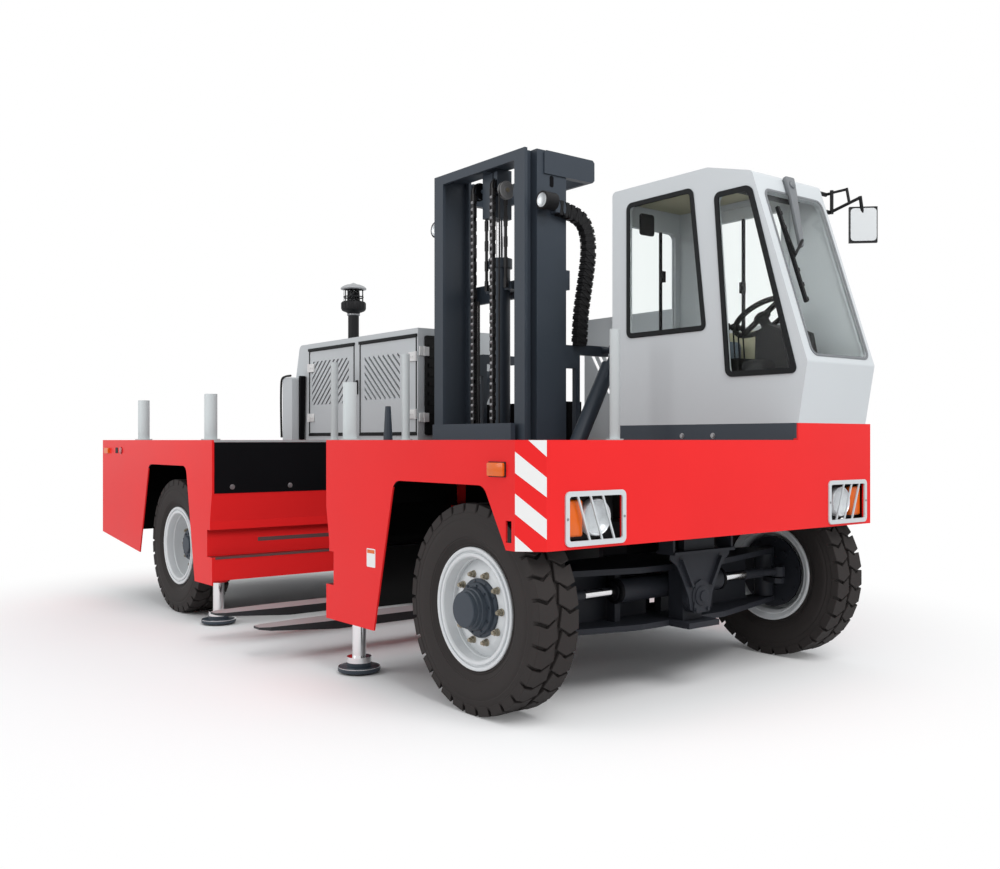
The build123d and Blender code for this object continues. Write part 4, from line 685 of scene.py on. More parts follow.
# %% Brake plate bolts
for side, hand in ((-1, "right"), (1, "left")):
    shape = bmesh.new()
    inward = Vector((0, -side, 0))
    centre = Vector((front_axle_x, side * 1.0625, axle_z))
    bolt_ring(shape, centre, inward, 0.195, 10, 0.009, 0.008)
    bolt_ring(shape, centre, inward, 0.095, 8, 0.010, 0.010, 0.5)
    plug = centre + Vector((0.10, 0, 0.11))
    round_bar(shape, plug, plug + inward * 0.02, 0.022, 20)
    piece(f"brake_bolts_{hand}", shape, axle_paint, f"knuckle_{hand}", smooth=30)

# %% [markdown]
# ## Far skirt
# On the far side the frame's skirt meets the decks at the well and leaves a narrow opening at each end. A
# thin red plate closes each of them.

# %% Far skirt fillers
spans = ((well_front - 0.020, well_front + 0.105), (well_rear - 0.105, well_rear + 0.020))
pairs = [((low, far_side - 0.008, 0.320), (high, far_side - 0.0006, 0.960)) for low, high in spans]
boxes("far_skirt_fillers", pairs, red_paint, "root")

# %% [markdown]
# ## Jacks
# Each jack is a bright rod in a slate collar. The collar's foot is a castle nut that holds the round pad.

# %% Jack collars
collar = [
    (0, 0.0405), (0, 0.0705), (0.024, 0.0705), (0.029, 0.066), (0.050, 0.066), (0.054, 0.058),
    (0.054, 0.0405), (0, 0.0405),
]
pad = [
    (0, 0.0), (0, 0.1185), (0.005, 0.1205), (0.017, 0.1205), (0.022, 0.1175), (0.0255, 0.110),
    (0.0255, 0.0),
]
jack_y = -1.205
for name, x in (("front", 1.25), ("rear", -0.72)):
    shape = bmesh.new()
    lathe(shape, collar, (x, jack_y, 0.036), up, 32)
    teeth = Vector((x, jack_y, 0.066))
    for place in around(teeth, up, 0.052, 6):
        turn = Matrix.Translation(place) @ (place - teeth).to_track_quat("X", "Z").to_matrix().to_4x4()
        bmesh.ops.create_cube(shape, size=1, matrix=turn @ Matrix.Diagonal((0.020, 0.026, 0.048, 1)))
    lathe(shape, pad, (x, jack_y, 0.012), up, 48)
    piece(f"jack_collar_{name}", shape, slate_paint, f"jack_{name}", smooth=30)

# %% [markdown]
# ## Warning stripes, marker lamps and bare plates
# The corner of the front deck is cut away at 45 degrees. Four white bands run down across the cut. They are
# thin sheets, a third of a millimetre proud, so that they do not flicker against the paint.


# %% Stripes on the cut corner
def on_cut(along, height):
    """A place on the cut corner: 0 at the side edge, 1 at the bumper."""
    return (2.8 + 0.1 * along + 0.0003, load_side + 0.1 * along - 0.0003, height)


stripe_table = [
    [(0.42, 1.3195), (1.0, 1.3195), (1.0, 1.245)],
    [(0.0, 1.2685), (1.0, 1.154), (1.0, 1.0665), (0.0, 1.1735)],
    [(0.0, 1.0825), (1.0, 0.968), (1.0, 0.879), (0.0, 0.991)],
    [(0.0, 0.896), (0.57, 0.8255), (0.0, 0.8255)],
]
shape = bmesh.new()
for corners in stripe_table:
    slab(shape, [on_cut(*corner) for corner in corners], (1, -1, 0), 0.0005)
piece("corner_stripes", shape, plain_white, "root", smooth=30)

# %% Marker lamps and the bare plate
shape = bmesh.new()
block(shape, (2.616, load_side - 0.020, 1.156), (2.732, load_side + 0.002, 1.218))
soften(shape, 0.006, 2)
block(shape, (-2.875, load_side - 0.018, 1.205), (-2.770, load_side + 0.002, 1.252))
piece("side_markers", shape, amber, "root", smooth=40)
boxes(
    "marker_bases",
    [
        ((2.612, load_side - 0.006, 1.152), (2.736, load_side + 0.002, 1.222)),
        ((-2.615, load_side - 0.003, 1.207), (-2.550, load_side + 0.002, 1.256)),
    ],
    black_plastic, "root", 0.003,
)
shape = bmesh.new()
lathe(
    shape, [(0, 0), (0, 0.030), (0.006, 0.030), (0.009, 0.026), (0.010, 0)], (-2.470, load_side, 1.232),
    to_load, 28
)
piece("round_reflector", shape, reflector_red, "root", smooth=30)
shape = bmesh.new()
plate_y = load_side - 0.0002
slab(shape, across_y(plate_y, (1.535, 0.6375), (1.622, 0.737)), to_load, 0.0014, 0.006)
piece("bare_plate", shape, plain_white, "root", smooth=30)
strip = [((1.541, load_side - 0.0024, 0.712), (1.616, load_side - 0.0010, 0.731))]
boxes("plate_strip", strip, amber, "root")

# %% [markdown]
# ## Front lamps
# Behind each pale bezel lies an amber indicator towards the outer side and a round head lamp in the middle.
# The head lamp is a turned reflector behind a clear lens.

# %% Head lamps, indicators and bezel screws
shape_amber, shape_lens, shape_bowl, shape_screw = bmesh.new(), bmesh.new(), bmesh.new(), bmesh.new()
housing = bmesh.new()
for centre, outer in ((-0.9275, -1), (1.0865, 1)):
    block(housing, (2.835, centre - 0.166, 0.863), (2.842, centre + 0.166, 1.063))
    block(
        shape_amber, (2.842, centre + outer * 0.112 - 0.050, 0.878),
        (2.884, centre + outer * 0.112 + 0.050, 1.048)
    )
    middle = Vector((2.842, centre - outer * 0.030, 0.963))
    bowl = [
        (0.0, 0.0), (0.0, 0.088), (0.034, 0.088), (0.040, 0.084), (0.036, 0.080), (0.018, 0.060),
        (0.010, 0.035), (0.008, 0.0)
    ]
    lathe(shape_bowl, bowl, middle, to_cab, 40)
    lens = [(0.030, 0.0), (0.030, 0.079), (0.036, 0.079), (0.042, 0.060), (0.046, 0.030), (0.047, 0.0)]
    lathe(shape_lens, lens, middle, to_cab, 40)
    for across in (-0.179, 0.179):
        round_bar(shape_screw, (2.906, centre + across, 0.963), (2.9105, centre + across, 0.963), 0.006, 12)
piece("lamp_housings", housing, black_plastic, "root", ["head_lamps"], smooth=30)
soften(shape_amber, 0.012, 3)
piece("indicators", shape_amber, amber, "root", smooth=40)
piece("head_lamp_bowls", shape_bowl, lamp_bright, "root", smooth=40)
piece("head_lamp_lenses", shape_lens, lens_glass, "root", smooth=40)
piece("bezel_screws", shape_screw, bolt_steel, "root", smooth=30)

# %% [markdown]
# ## Cab seals, wiper and lining
# Black rubber frames hold the side windows and a thin grey one the windscreen. Inside there are a beige roof
# lining, a dark header and sliding windows on the far side.

# %% Window seals of the cab
rear_window = [(1.591, 1.993), (1.591, 2.851), (2.132, 2.851), (2.237, 1.993)]
front_window = [(2.409, 1.703), (2.320, 2.785), (2.570, 2.785), (2.887, 1.703)]


def grown(outline, by):
    """An outline in x and z, pushed away from its middle."""
    middle = Vector((sum(x for x, z in outline), sum(z for x, z in outline))) / len(outline)
    grow = []
    for x, z in outline:
        away = Vector((x, z)) - middle
        grow.append((x + by * (1 if away.x > 0 else -1), z + by * (1 if away.y > 0 else -1)))
    return grow


shape = bmesh.new()
for outline in (rear_window, front_window):
    corners = [(x, cab_side + 0.0005, z) for x, z in grown(outline, 0.012)]
    seal(shape, corners, to_load, 0.033, 0.0085, 0.045, 0.003)
piece("side_window_seals", shape, seal_rubber, "root", smooth=40)

# %% Cab base bolts and wiper
shape = bmesh.new()
bolts(shape, [(2.055, 0.614, 1.346), (2.298, 0.614, 1.346)], to_load, 0.013, 0.010)
piece("cab_base_bolts", shape, bolt_steel, "root", smooth=30)

# %% [markdown]
# The windscreen's rubber follows the sloping face. Its outline is written in the plane of the glass, as a
# distance across the cab and a distance down the slope, and a small function turns that into a place.


# %% Windscreen seal, wiper motor and blade
screen_top = Vector((2.583, 0, 2.878))
screen_foot = Vector((2.96, 0, 1.756))
down = (screen_foot - screen_top).normalized()
out_of_screen = Vector((-down.z, 0, down.x))


def on_screen(across, below, lift=0.0):
    """A place on the windscreen: metres from the cab's load side, down from the top edge and out."""
    spot = screen_top + down * below + out_of_screen * lift
    return (spot.x, cab_side + across, spot.z)


def patch(left, right, high, low, lift=0.0):
    """The corners of a rectangle on the windscreen."""
    corners = ((left, high), (right, high), (right, low), (left, low))
    return [on_screen(across, below, lift) for across, below in corners]


length = (screen_foot - screen_top).length
left, right = 0.070, cab_far - cab_side - 0.045
high, low = 0.115, length - 0.045
shape = bmesh.new()
lap = 0.012
outline = patch(left - lap, right + lap, high - lap, low + lap)
seal(shape, outline, out_of_screen, 0.016, 0.005, 0.055, 0.002)
piece("windscreen_seal", shape, wiper_grey, "root", smooth=40)

shape = bmesh.new()
cover = [
    (0.275, 0.004), (0.365, 0.004), (0.345, 0.110), (0.262, 0.455), (0.240, 0.480), (0.222, 0.460),
    (0.272, 0.130)
]
slab(shape, [on_screen(across, below, 0.006) for across, below in cover], out_of_screen, 0.026, 0.012)
soften(shape, 0.006, 2)
lathe(
    shape, [(0.026, 0), (0.026, 0.026), (0.040, 0.024), (0.046, 0.014), (0.046, 0)],
    Vector(on_screen(0.315, 0.060)), out_of_screen, 24
)
piece("wiper_arm_cover", shape, wiper_grey, "root", smooth=40)
shape = bmesh.new()
round_bar(shape, on_screen(0.236, 0.440, 0.040), on_screen(0.132, 0.540, 0.034), 0.009, 10)
for start, end in ((0.33, 0.54), (0.54, 0.74)):
    round_bar(
        shape, on_screen(0.127, start, 0.022), on_screen(0.131, end, 0.036 if start < 0.5 else 0.022), 0.006,
        8
    )
blade = ((0.113, 0.227), (0.131, 0.227), (0.139, 0.827), (0.121, 0.827))
slab(shape, [on_screen(across, below, 0.006) for across, below in blade], out_of_screen, 0.020)
for step in range(7):
    below = 0.26 + step * 0.09
    across = 0.122 + (below - 0.227) * 0.0133
    slab(shape, patch(across - 0.013, across + 0.013, below, below + 0.022, 0.008), out_of_screen, 0.022)
piece("wiper", shape, black_plastic, "root", smooth=40)

# %% [markdown]
# The lining shows through the glass: a beige roof panel, a dark header over the windscreen, beige panels on
# the door and the rear wall, and the slim black frames of the far panes.

# %% Cab lining
boxes(
    "roof_lining",
    [((1.50, 0.668, 2.885), (2.46, 1.222, 2.905)), ((1.500, 0.668, 1.50), (1.516, 1.222, 1.80))],
    trim_beige, "root", 0.006, 2, 40,
)
header = [((2.40, 0.670, 2.79), (2.50, 1.218, 2.885))]
boxes("header", header, black_plastic, "root", 0.012, 2, 40)

# %% Trim of the cab door and frames of the sliding panes
door_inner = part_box("cab_door")[0][1]
trim = [((1.740, door_inner - 0.006, 1.520), (2.350, door_inner + 0.001, 2.030))]
boxes("door_trim", trim, trim_beige, "cab_door", 0.003, 1, 40)
door_frame = [((2.018, 1.236, 2.062), (2.034, 1.256, 2.772))]
for x, z in ((2.026, 2.32), (2.300, 2.317)):
    door_frame.append(((x - 0.016, 1.222, z - 0.036), (x + 0.016, 1.250, z + 0.036)))
boxes("door_pane_frame", door_frame, black_plastic, "cab_door")
rear_frame = [((1.456, 1.051, 1.852), (1.476, 1.065, 2.748)), ((1.470, 1.040, 2.405), (1.496, 1.078, 2.480))]
boxes("rear_pane_frame", rear_frame, black_plastic, "root")
base_end = [((2.8680, 0.6145, 1.3205), (2.8890, 1.2720, 1.4140))]
boxes("cab_base_end", base_end, slate_paint, "root")
shape = bmesh.new()
slab(shape, across_x(2.18, (0.668, 2.56), (0.700, 2.70)), to_cab, 0.006, 0.012)
slab(shape, across_x(1.640, (0.668, 2.66), (0.80, 2.80)), to_cab, 0.010, 0.020)
piece("inner_mirror", shape, black_plastic, "root", smooth=40)

# %% Seat upholstery, dash top, wheel rim and levers
seat_centre = (cab_side + cab_far) / 2
shape = bmesh.new()
block(shape, (1.545, seat_centre - 0.248, 1.782), (2.065, seat_centre + 0.248, 1.958))
block(shape, (1.530, seat_centre - 0.238, 1.925), (1.640, seat_centre + 0.238, 2.03))
soften(shape, 0.030, 4)
cushion = piece("seat_cushion", shape, seat_blue, "root", ["cab_seat"], smooth=60)
pedestal = [((1.650, seat_centre - 0.160, 1.461), (1.950, seat_centre + 0.160, 1.800))]
boxes("seat_pedestal", pedestal, black_plastic, "root")
dash = [((2.45, 0.670, 1.60), (2.62, 1.218, 1.79))]
boxes("dash_panel", dash, black_plastic, "root", 0.035, 3, 50)
shape = bmesh.new()
wheel = Vector((2.410, seat_centre, 2.060))
tilt = Vector((-110, 0, 160)).normalized()
turns = [2 * pi * k / 12 for k in range(12)]
grip = [(0.012 + 0.014 * sin(a), 0.1775 + 0.0165 * cos(a)) for a in turns] + [(0.012, 0.194)]
lathe(shape, grip, wheel, tilt, 56)
lathe(shape, [(0.004, 0), (0.004, 0.055), (0.022, 0.048), (0.034, 0.030), (0.036, 0)], wheel, tilt, 32)
piece("wheel_rim", shape, black_plastic, "root", smooth=50)
shape = bmesh.new()
for step in range(4):
    y = cab_side + 0.085 + 0.045 * step
    round_bar(shape, (2.36, y, 1.80), (2.345, y, 1.985), 0.005, 10)
    lathe(
        shape, [(0, 0), (0, 0.010), (0.012, 0.017), (0.030, 0.016), (0.040, 0.008), (0.041, 0)],
        (2.345, y, 1.98), up, 20
    )
block(shape, (2.28, cab_side + 0.060, 1.72), (2.44, cab_side + 0.255, 1.805))
piece("lever_stand", shape, black_plastic, "root", smooth=40)

# %% [markdown]
# ## Mirror glass
# The mirror's housing is a CAD solid. A bright sheet on one side makes the glass and a pale plate covers the
# other.

# %% Mirror glass
shape = bmesh.new()
slab(
    shape,
    [(2.7018, 1.4052, 2.545), (2.8192, 1.5220, 2.545), (2.8192, 1.5220, 2.735), (2.7018, 1.4052, 2.735)],
    (-1, 1, 0), 0.001, 0.018
)
piece("mirror_glass", shape, lamp_silver, "root", smooth=30)
shape = bmesh.new()
slab(
    shape,
    [(2.7245, 1.3915, 2.540), (2.8335, 1.5005, 2.540), (2.8335, 1.5005, 2.740), (2.7245, 1.3915, 2.740)],
    (1, -1, 0), 0.004, 0.022
)
piece("mirror_back", shape, mirror_face, "root", smooth=30)

# %% [markdown]
# ## Engine hood
# The two hood doors close on black rubber, which is thick along the top. These black strips are seal rubber
# and painted shade of the gaps round the doors. They swing on bright hinges at their outer ends and share a
# black lock at the post between them.

# %% Hood door rubbers and painted gap shade
doors = {"rear": (-2.64, -1.785), "front": (-1.685, -0.772)}
door_low, door_high = 1.38, 2.18
shape = bmesh.new()
for low_x, high_x in doors.values():
    outline = across_y(
        hood_side + 0.0005, (low_x - 0.004, door_low - 0.006), (high_x + 0.004, door_high + 0.006)
    )
    seal(shape, outline, to_load, 0.014, 0.004, 0.0)
    # The thick strips along the top and the foot are black seal rubber and painted shade of the gaps, under
    # the overhang at the top
    top_low, top_high = door_high - 0.003, door_high + 0.022
    block(shape, (low_x - 0.010, hood_side - 0.012, top_low), (high_x + 0.010, hood_side + 0.001, top_high))
    foot_low, foot_high = door_low - 0.022, door_low - 0.001
    block(shape, (low_x - 0.006, hood_side - 0.006, foot_low), (high_x + 0.006, hood_side + 0.001, foot_high))
piece("hood_rubbers_and_gap_shade", shape, seal_rubber, "root", smooth=30)

# %% Hood hinges, handles and the lock
for name, (low_x, high_x) in doors.items():
    hinge = low_x if name == "rear" else high_x
    inside = 1 if name == "rear" else -1
    shape = bmesh.new()
    for z in (door_low + 0.120, door_high - 0.200):
        leaf = sorted((hinge + inside * 0.012, hinge + inside * 0.105))
        block(shape, (leaf[0], hood_side - 0.0125, z - 0.004), (leaf[1], hood_side - 0.0005, z + 0.074))
        soften(shape, 0.002, 1)
        knuckle = Vector((hinge, hood_side - 0.010, z))
        round_bar(shape, knuckle - Vector((0, 0, 0.006)), knuckle + Vector((0, 0, 0.076)), 0.0125, 16)
        heads = [(hinge + inside * along, hood_side - 0.0125, z + 0.035) for along in (0.045, 0.082)]
        bolts(shape, heads, to_load, 0.0065, 0.006)
    piece(f"hood_hinges_{name}", shape, plain_white, f"hood_door_{name}", smooth=30)
shape = bmesh.new()
lock_x = -1.735
slab(shape, across_y(hood_side, (lock_x - 0.022, 1.73), (lock_x + 0.022, 1.86)), to_load, 0.010, 0.014)
soften(shape, 0.002, 1)
block(shape, (lock_x - 0.010, hood_side - 0.032, 1.755), (lock_x + 0.010, hood_side - 0.009, 1.835))
soften(shape, 0.003, 1)
piece("hood_lock", shape, black_plastic, "root", smooth=30)

# %% [markdown]
# Behind the louvres lies a black sheet of painted shade, so that the slots read as black. On the hood's front
# face there is a recessed black panel with two bright hinges.

# %% Louvre backs and the hood's front panel
# Each louvre panel gets a black sheet behind it, painted shade for its slots
for name, (low_x, high_x) in {"rear": (-2.591, -1.887), "front": (-1.608, -1.030)}.items():
    pairs = [((low_x - 0.01, hood_side + 0.019, 1.648), (high_x + 0.01, hood_side + 0.023, 2.083))]
    boxes(f"louvre_shade_sheet_{name}", pairs, black_plastic, f"hood_door_{name}")
shape = bmesh.new()
hood_end = -0.7515
seal(shape, across_x(hood_end, (0.60, 1.36), (1.13, 2.19)), to_cab, 0.018, 0.010, 0.02)
slab(shape, across_x(hood_end, (0.605, 1.365), (1.125, 2.185)), to_cab, 0.004, 0.018)
for step in range(9):
    z = 1.46 + step * 0.078
    block(shape, (-0.748, 0.64, z), (-0.738, 1.09, z + 0.030))
piece("hood_front_grille", shape, black_plastic, "root", smooth=30)
shape = bmesh.new()
for z in (1.47, 2.02):
    block(shape, (-0.752, 0.545, z), (-0.738, 0.640, z + 0.075))
    soften(shape, 0.002, 1)
    round_bar(shape, (-0.741, 0.592, z - 0.003), (-0.741, 0.592, z + 0.078), 0.010, 14)
piece("grille_hinges", shape, plain_white, "root", smooth=30)

# %% [markdown]
# ## Air intake
# A pipe comes out of the hood and carries a pre-cleaner: a skirt, a waist, a clear band and a mushroom cap.
# All of them are turned parts, so one short profile each is enough.

# %% Air intake
intake_x, intake_y = -2.510, 0.950
intake = (intake_x, intake_y, 0.0)
pipe = [(2.288, 0.0), (2.288, 0.068), (2.31, 0.0685), (2.32, 0.0535), (2.548, 0.0535), (2.549, 0.0)]
skirt = [
    (2.562, 0), (2.562, 0.058), (2.575, 0.066), (2.590, 0.104), (2.597, 0.114), (2.606, 0.118),
    (2.672, 0.118), (2.680, 0.113), (2.684, 0.098), (2.684, 0),
]
waist = [(2.683, 0), (2.683, 0.060), (2.800, 0.052), (2.800, 0)]
hoop = [(2.724, 0.090), (2.724, 0.099), (2.734, 0.099), (2.734, 0.090), (2.724, 0.090)]
clamp = [(2.545, 0), (2.545, 0.060), (2.549, 0.063), (2.560, 0.063), (2.564, 0.059), (2.564, 0)]
cap = [
    (2.800, 0), (2.800, 0.105), (2.804, 0.124), (2.810, 0.1275), (2.817, 0.125), (2.832, 0.108),
    (2.848, 0.072), (2.854, 0.040), (2.866, 0.014), (2.8705, 0.0),
]
clear_band = [(2.684, 0), (2.684, 0.094), (2.690, 0.0965), (2.794, 0.0965), (2.800, 0.094), (2.800, 0)]
shape = bmesh.new()
lathe(shape, pipe, intake, up, 36)
lathe(shape, skirt, intake, up, 48)
for place in around((intake_x, intake_y, 2.640), up, 0.118, 18):
    round_bar(shape, place - Vector((0, 0, 0.030)), place + Vector((0, 0, 0.030)), 0.0045, 8)
for place in around((intake_x, intake_y, 2.740), up, 0.088, 8):
    round_bar(shape, place - Vector((0, 0, 0.060)), place + Vector((0, 0, 0.062)), 0.006, 8)
lathe(shape, waist, intake, up, 36)
lathe(shape, hoop, intake, up, 48)
piece("intake_body", shape, black_plastic, "root", ["air_intake"], smooth=40)
for name, profile, steps, paint, slot in (
    ("intake_clamp", clamp, 36, bolt_steel, "bright_rod"),
    ("intake_cap", cap, 48, grey_trim, "white_paint"),
    ("intake_bowl", clear_band, 48, lens_glass, "clear_glass"),
):
    shape = bmesh.new()
    lathe(shape, profile, intake, up, steps)
    piece(name, shape, paint, "root", smooth=40)

# %% [markdown]
# ## Rear console
# A bent black tube guards the outer edge of the console box and a slim leaning post stands before it.

# %% Console guard and post
guard_bend = [(-2.76, 1.945), (-2.86, 1.945), (-2.955, 1.94), (-2.968, 1.86), (-2.972, 1.60), (-2.955, 1.345)]
hose(
    "console_guard",
    [[(x, 0.396, z) for x, z in guard_bend]],
    0.011, black_plastic, "root", 10,
)
shape = bmesh.new()
slab(
    shape, [(-2.739, 0.470, 1.325), (-2.715, 0.470, 1.325), (-2.692, 0.470, 1.944), (-2.739, 0.470, 1.944)],
    to_far, 0.054
)
soften(shape, 0.004, 1)
piece("console_post", shape, black_paint, "root", ["console_column"], smooth=30)

# %% [markdown]
# ## Mast fittings
# Leaf chains are rows of plates on pins. One link is two short plates side by side, and it is copied up the
# run with two widths in turn, so that inner and outer plates follow each other.

# %% Chain plates and pins
pitch = 0.0508
chain_out, chain_y = 0.116, 0.434
chain_low, chain_high = 1.275, 3.185
plates, pins = bmesh.new(), bmesh.new()
for side in (-1, 1):
    x = mast_x + side * chain_out
    for link in range(int((chain_high - chain_low) / pitch)):
        z = chain_low + link * pitch
        spread = 0.0110 if link % 2 else 0.0175
        for middle in (x - spread, x + spread):
            low = (middle - 0.003, chain_y - 0.012, z - 0.013)
            block(plates, low, (middle + 0.003, chain_y + 0.016, z + pitch + 0.013))
        round_bar(pins, (x - 0.0205, chain_y, z), (x + 0.0205, chain_y, z), 0.0090, 10)
        round_bar(pins, (x - 0.0130, chain_y, z), (x + 0.0130, chain_y, z), 0.0160, 12)
        if link % 2:
            low = (x - 0.015, chain_y - 0.011, z + 0.010)
            block(plates, low, (x + 0.015, chain_y + 0.010, z + pitch - 0.010))
piece("chain_plates", plates, chain_steel, "mast_inner", smooth=30)
piece("chain_pins", pins, bolt_steel, "mast_inner", smooth=30)

# %% [markdown]
# The chain sheaves have deep flanges and the hose sheave beside the upright is a grey disc with a bolt.

# %% Sheaves
shape = bmesh.new()
for side in (-1, 1):
    middle = mast_x + side * chain_out
    groove = [
        (-0.030, 0), (-0.030, 0.062), (-0.024, 0.062), (-0.022, 0.0525), (0.022, 0.0525), (0.024, 0.062),
        (0.030, 0.062), (0.030, 0)
    ]
    lathe(shape, groove, (middle, 0.496, 3.19), to_cab, 40)
piece("chain_sheaves", shape, black_paint, "mast_inner", smooth=30)
shape = bmesh.new()
disc = [
    (-0.016, 0), (-0.016, 0.066), (-0.010, 0.067), (-0.006, 0.058), (0.006, 0.058), (0.010, 0.067),
    (0.016, 0.066),
    (0.017, 0.056), (0.014, 0.052), (0.014, 0.030), (0.018, 0.028), (0.020, 0.022), (0.020, 0),
]
hub = Vector((0.470, 0.490, 3.145))
lathe(shape, disc, hub, to_cab, 40)
piece("hose_sheave", shape, sheave_grey, "mast_inner", smooth=30)
shape = bmesh.new()
round_bar(shape, hub - Vector((0.060, 0, 0)), hub + Vector((0.019, 0, 0)), 0.016, 16)
bolts(shape, [hub + Vector((0.020, 0, 0))], to_cab, 0.013, 0.012)
piece("hose_sheave_pin", shape, brass_nut, "mast_inner", smooth=30)
stay = [((0.372, 0.452, 3.150), (0.415, 0.560, 3.290))]
boxes("sheave_stay", stay, slate_paint, "mast_inner")
mast_hose_run = [(0.500, 3.2075), (0.455, 3.205)] + [(0.4265, z) for z in (3.170, 3.05, 2.2, 1.30)]
hose(
    "mast_hose",
    [[(0.470, y, z) for y, z in mast_hose_run]],
    0.007, black_plastic, "mast_inner", 8,
)
# A thin black sheet on the outer upright is painted shade, standing for the dark inside of a slot
shape = bmesh.new()
slab(shape, across_x(0.8382, (0.592, 3.115), (0.628, 3.195)), to_cab, 0.0012, 0.014)
piece("mast_slot_shade", shape, black_paint, "mast_outer", smooth=30)

# %% Mast hoses, pipes and the fork carriage's chain ends
hose(
    "mast_pipes",
    [[(x, 0.640, z) for z in (0.62, 1.6, 2.40)] for x in (mast_x - 0.350, mast_x - 0.320)],
    0.009, black_plastic, "mast_outer", 8,
)
shape = bmesh.new()
for side in (-1, 1):
    x = mast_x + side * chain_out
    round_bar(shape, (x, 0.436, 1.20), (x, 0.436, 1.268), 0.011, 16)
    round_bar(shape, (x, 0.436, 1.205), (x, 0.436, 1.228), 0.014, 6)
    block(shape, (x - 0.018, 0.424, 1.255), (x + 0.018, 0.448, 1.278))
piece("chain_anchors", shape, bolt_steel, "mast_inner", smooth=30)

# %% [markdown]
# A guard chain of plastic links carries the hoses down behind the mast. Its links are short frames, one for
# every few centimetres along the bend.

# %% Links of the hose guard
def along_curve(points, step):
    """Evenly spaced places and directions on a smooth curve through control points."""
    mesh = curve_mesh([points], 3, 12)
    track = [v.co.copy() for v in mesh.vertices]
    bpy.data.meshes.remove(mesh)
    places, carried = [], 0.0
    for a, b in zip(track, track[1:]):
        run = (b - a).length
        while carried < run:
            places.append((a.lerp(b, carried / run), (b - a).normalized()))
            carried += step
        carried -= run
    return places


guard_route = [
    (0.8683, 0.630, 2.968), (0.8683, 0.760, 2.955), (0.8683, 0.900, 2.900), (0.8683, 0.945, 2.740),
    (0.8683, 0.925, 2.560), (0.8683, 0.890, 2.380), (0.8683, 0.858, 2.200), (0.8683, 0.850, 2.008),
]
shape = bmesh.new()
for count, (place, ahead) in enumerate(along_curve(guard_route, 0.0265)):
    turn = Matrix.Translation(place) @ ahead.to_track_quat("Z", "X").to_matrix().to_4x4()
    size = (0.104, 0.064, 0.028, 1) if count % 2 else (0.088, 0.054, 0.028, 1)
    bmesh.ops.create_cube(shape, size=1, matrix=turn @ Matrix.Diagonal(size))
    if count % 2:
        tilted = turn @ Matrix.Rotation(radians(28), 4, "Y")
        bmesh.ops.create_cube(shape, size=1, matrix=tilted @ Matrix.Diagonal((0.112, 0.068, 0.008, 1)))
soften(shape, 0.002, 1)
piece("guard_links", shape, black_plastic, "mast_outer", ["hose_guard"], smooth=30)
foot = [((0.840, 0.594, 2.925), (0.898, 0.700, 3.020))]
boxes("guard_foot", foot, slate_paint, "mast_outer", 0.004)

# %% Work lamps
bowls, lenses, rims = bmesh.new(), bmesh.new(), bmesh.new()
for x in (0.913, -0.383):
    face = Vector((x, 0.464, 2.99))
    rim_ring = [
        (-0.010, 0.046), (-0.010, 0.0635), (0.008, 0.0645), (0.013, 0.060), (0.012, 0.050), (0.004, 0.046),
        (-0.010, 0.046)
    ]
    lathe(rims, rim_ring, face, to_load, 36)
    lathe(
        bowls,
        [
            (0.0005, 0.0), (0.0005, 0.0465), (0.010, 0.0500), (0.0125, 0.0490), (0.009, 0.044),
            (0.004, 0.030), (0.002, 0.0)
        ],
        face, to_load, 36
    )
    lathe(
        lenses, [(0.0055, 0.0), (0.0075, 0.043), (0.010, 0.045), (0.013, 0.026), (0.014, 0.0)], face,
        to_load, 36
    )
piece("work_lamp_rims", rims, black_plastic, "mast_outer", smooth=40)
piece("work_lamp_bowls", bowls, lamp_bright, "mast_outer", smooth=40)
piece("work_lamp_lenses", lenses, lens_glass, "mast_outer", smooth=40)

# %% [markdown]
# ## Well walls
# The vertical part of each wall carries a black plate with two bright fixings under a pale strip, a painted
# highlight along the wall's top edge. Worn brown strips mark where the rollers run.

# %% Well plates, painted edge highlights and wear strips
def on_wall(wall_x, way, depth, low, high, lift=0.0005):
    """The corners of a thin plate on a well wall, whose own corners are in y and z."""
    back = wall_x + way * lift
    x = sorted((back, back + way * depth))
    return (x[0], *low), (x[1], *high)


for name, wall_x, way in (("front", well_front, -1), ("rear", well_rear, 1)):
    plate = [on_wall(wall_x, way, 0.0035, (-1.308, 0.9435), (0.180, deck - 0.0165))]
    boxes(f"well_plate_{name}", plate, black_paint, "root")
    shape = bmesh.new()
    bolts(shape, [(wall_x + way * 0.004, y, 0.988) for y in (-1.176, -0.727)], (way, 0, 0), 0.014, 0.012)
    piece(f"well_plate_bolts_{name}", shape, bolt_steel, "root", smooth=30)
    # A pale strip along the wall's top edge is a painted highlight, where the deck's edge catches the light
    edge = [on_wall(wall_x, way, 0.004, (-1.310, deck - 0.0155), (0.180, deck - 0.0005))]
    boxes(f"well_edge_highlight_{name}", edge, grey_trim, "root")
    rail_x = wall_x - way * 0.085
    wear_and_up_tone = [
        on_wall(wall_x, way, 0.003, (-1.300, 0.481), (0.450, 0.4965)),
        on_wall(rail_x, way, 0.0025, (-0.940, 0.584), (0.450, 0.612), -0.001),
    ]
    boxes(f"wear_strips_{name}", wear_and_up_tone, wear_strip, "root")

# %% [markdown]
# ## Camera, light and floor
# The photograph was taken a little above the deck's height from the loading side. The camera looks level,
# along the direction that puts the near corner where the photograph has it. The world gives a soft even
# light and two large area lamps model the forms.

# %% Set the camera
camera = bpy.data.objects.new("camera", bpy.data.cameras.new("camera"))
bpy.context.scene.collection.objects.link(camera)
bpy.context.scene.camera = camera
camera.location = (6.3294, -4.2026, 1.320)
aim = Vector((-0.784, 0.6204, 0))
camera.rotation_euler = aim.to_track_quat("-Z", "Y").to_euler()
camera.data.sensor_width = 36
camera.data.lens = 36.97
camera.data.shift_y = 0.0055
camera.data.clip_end = 200
print("camera at", tuple(camera.location))

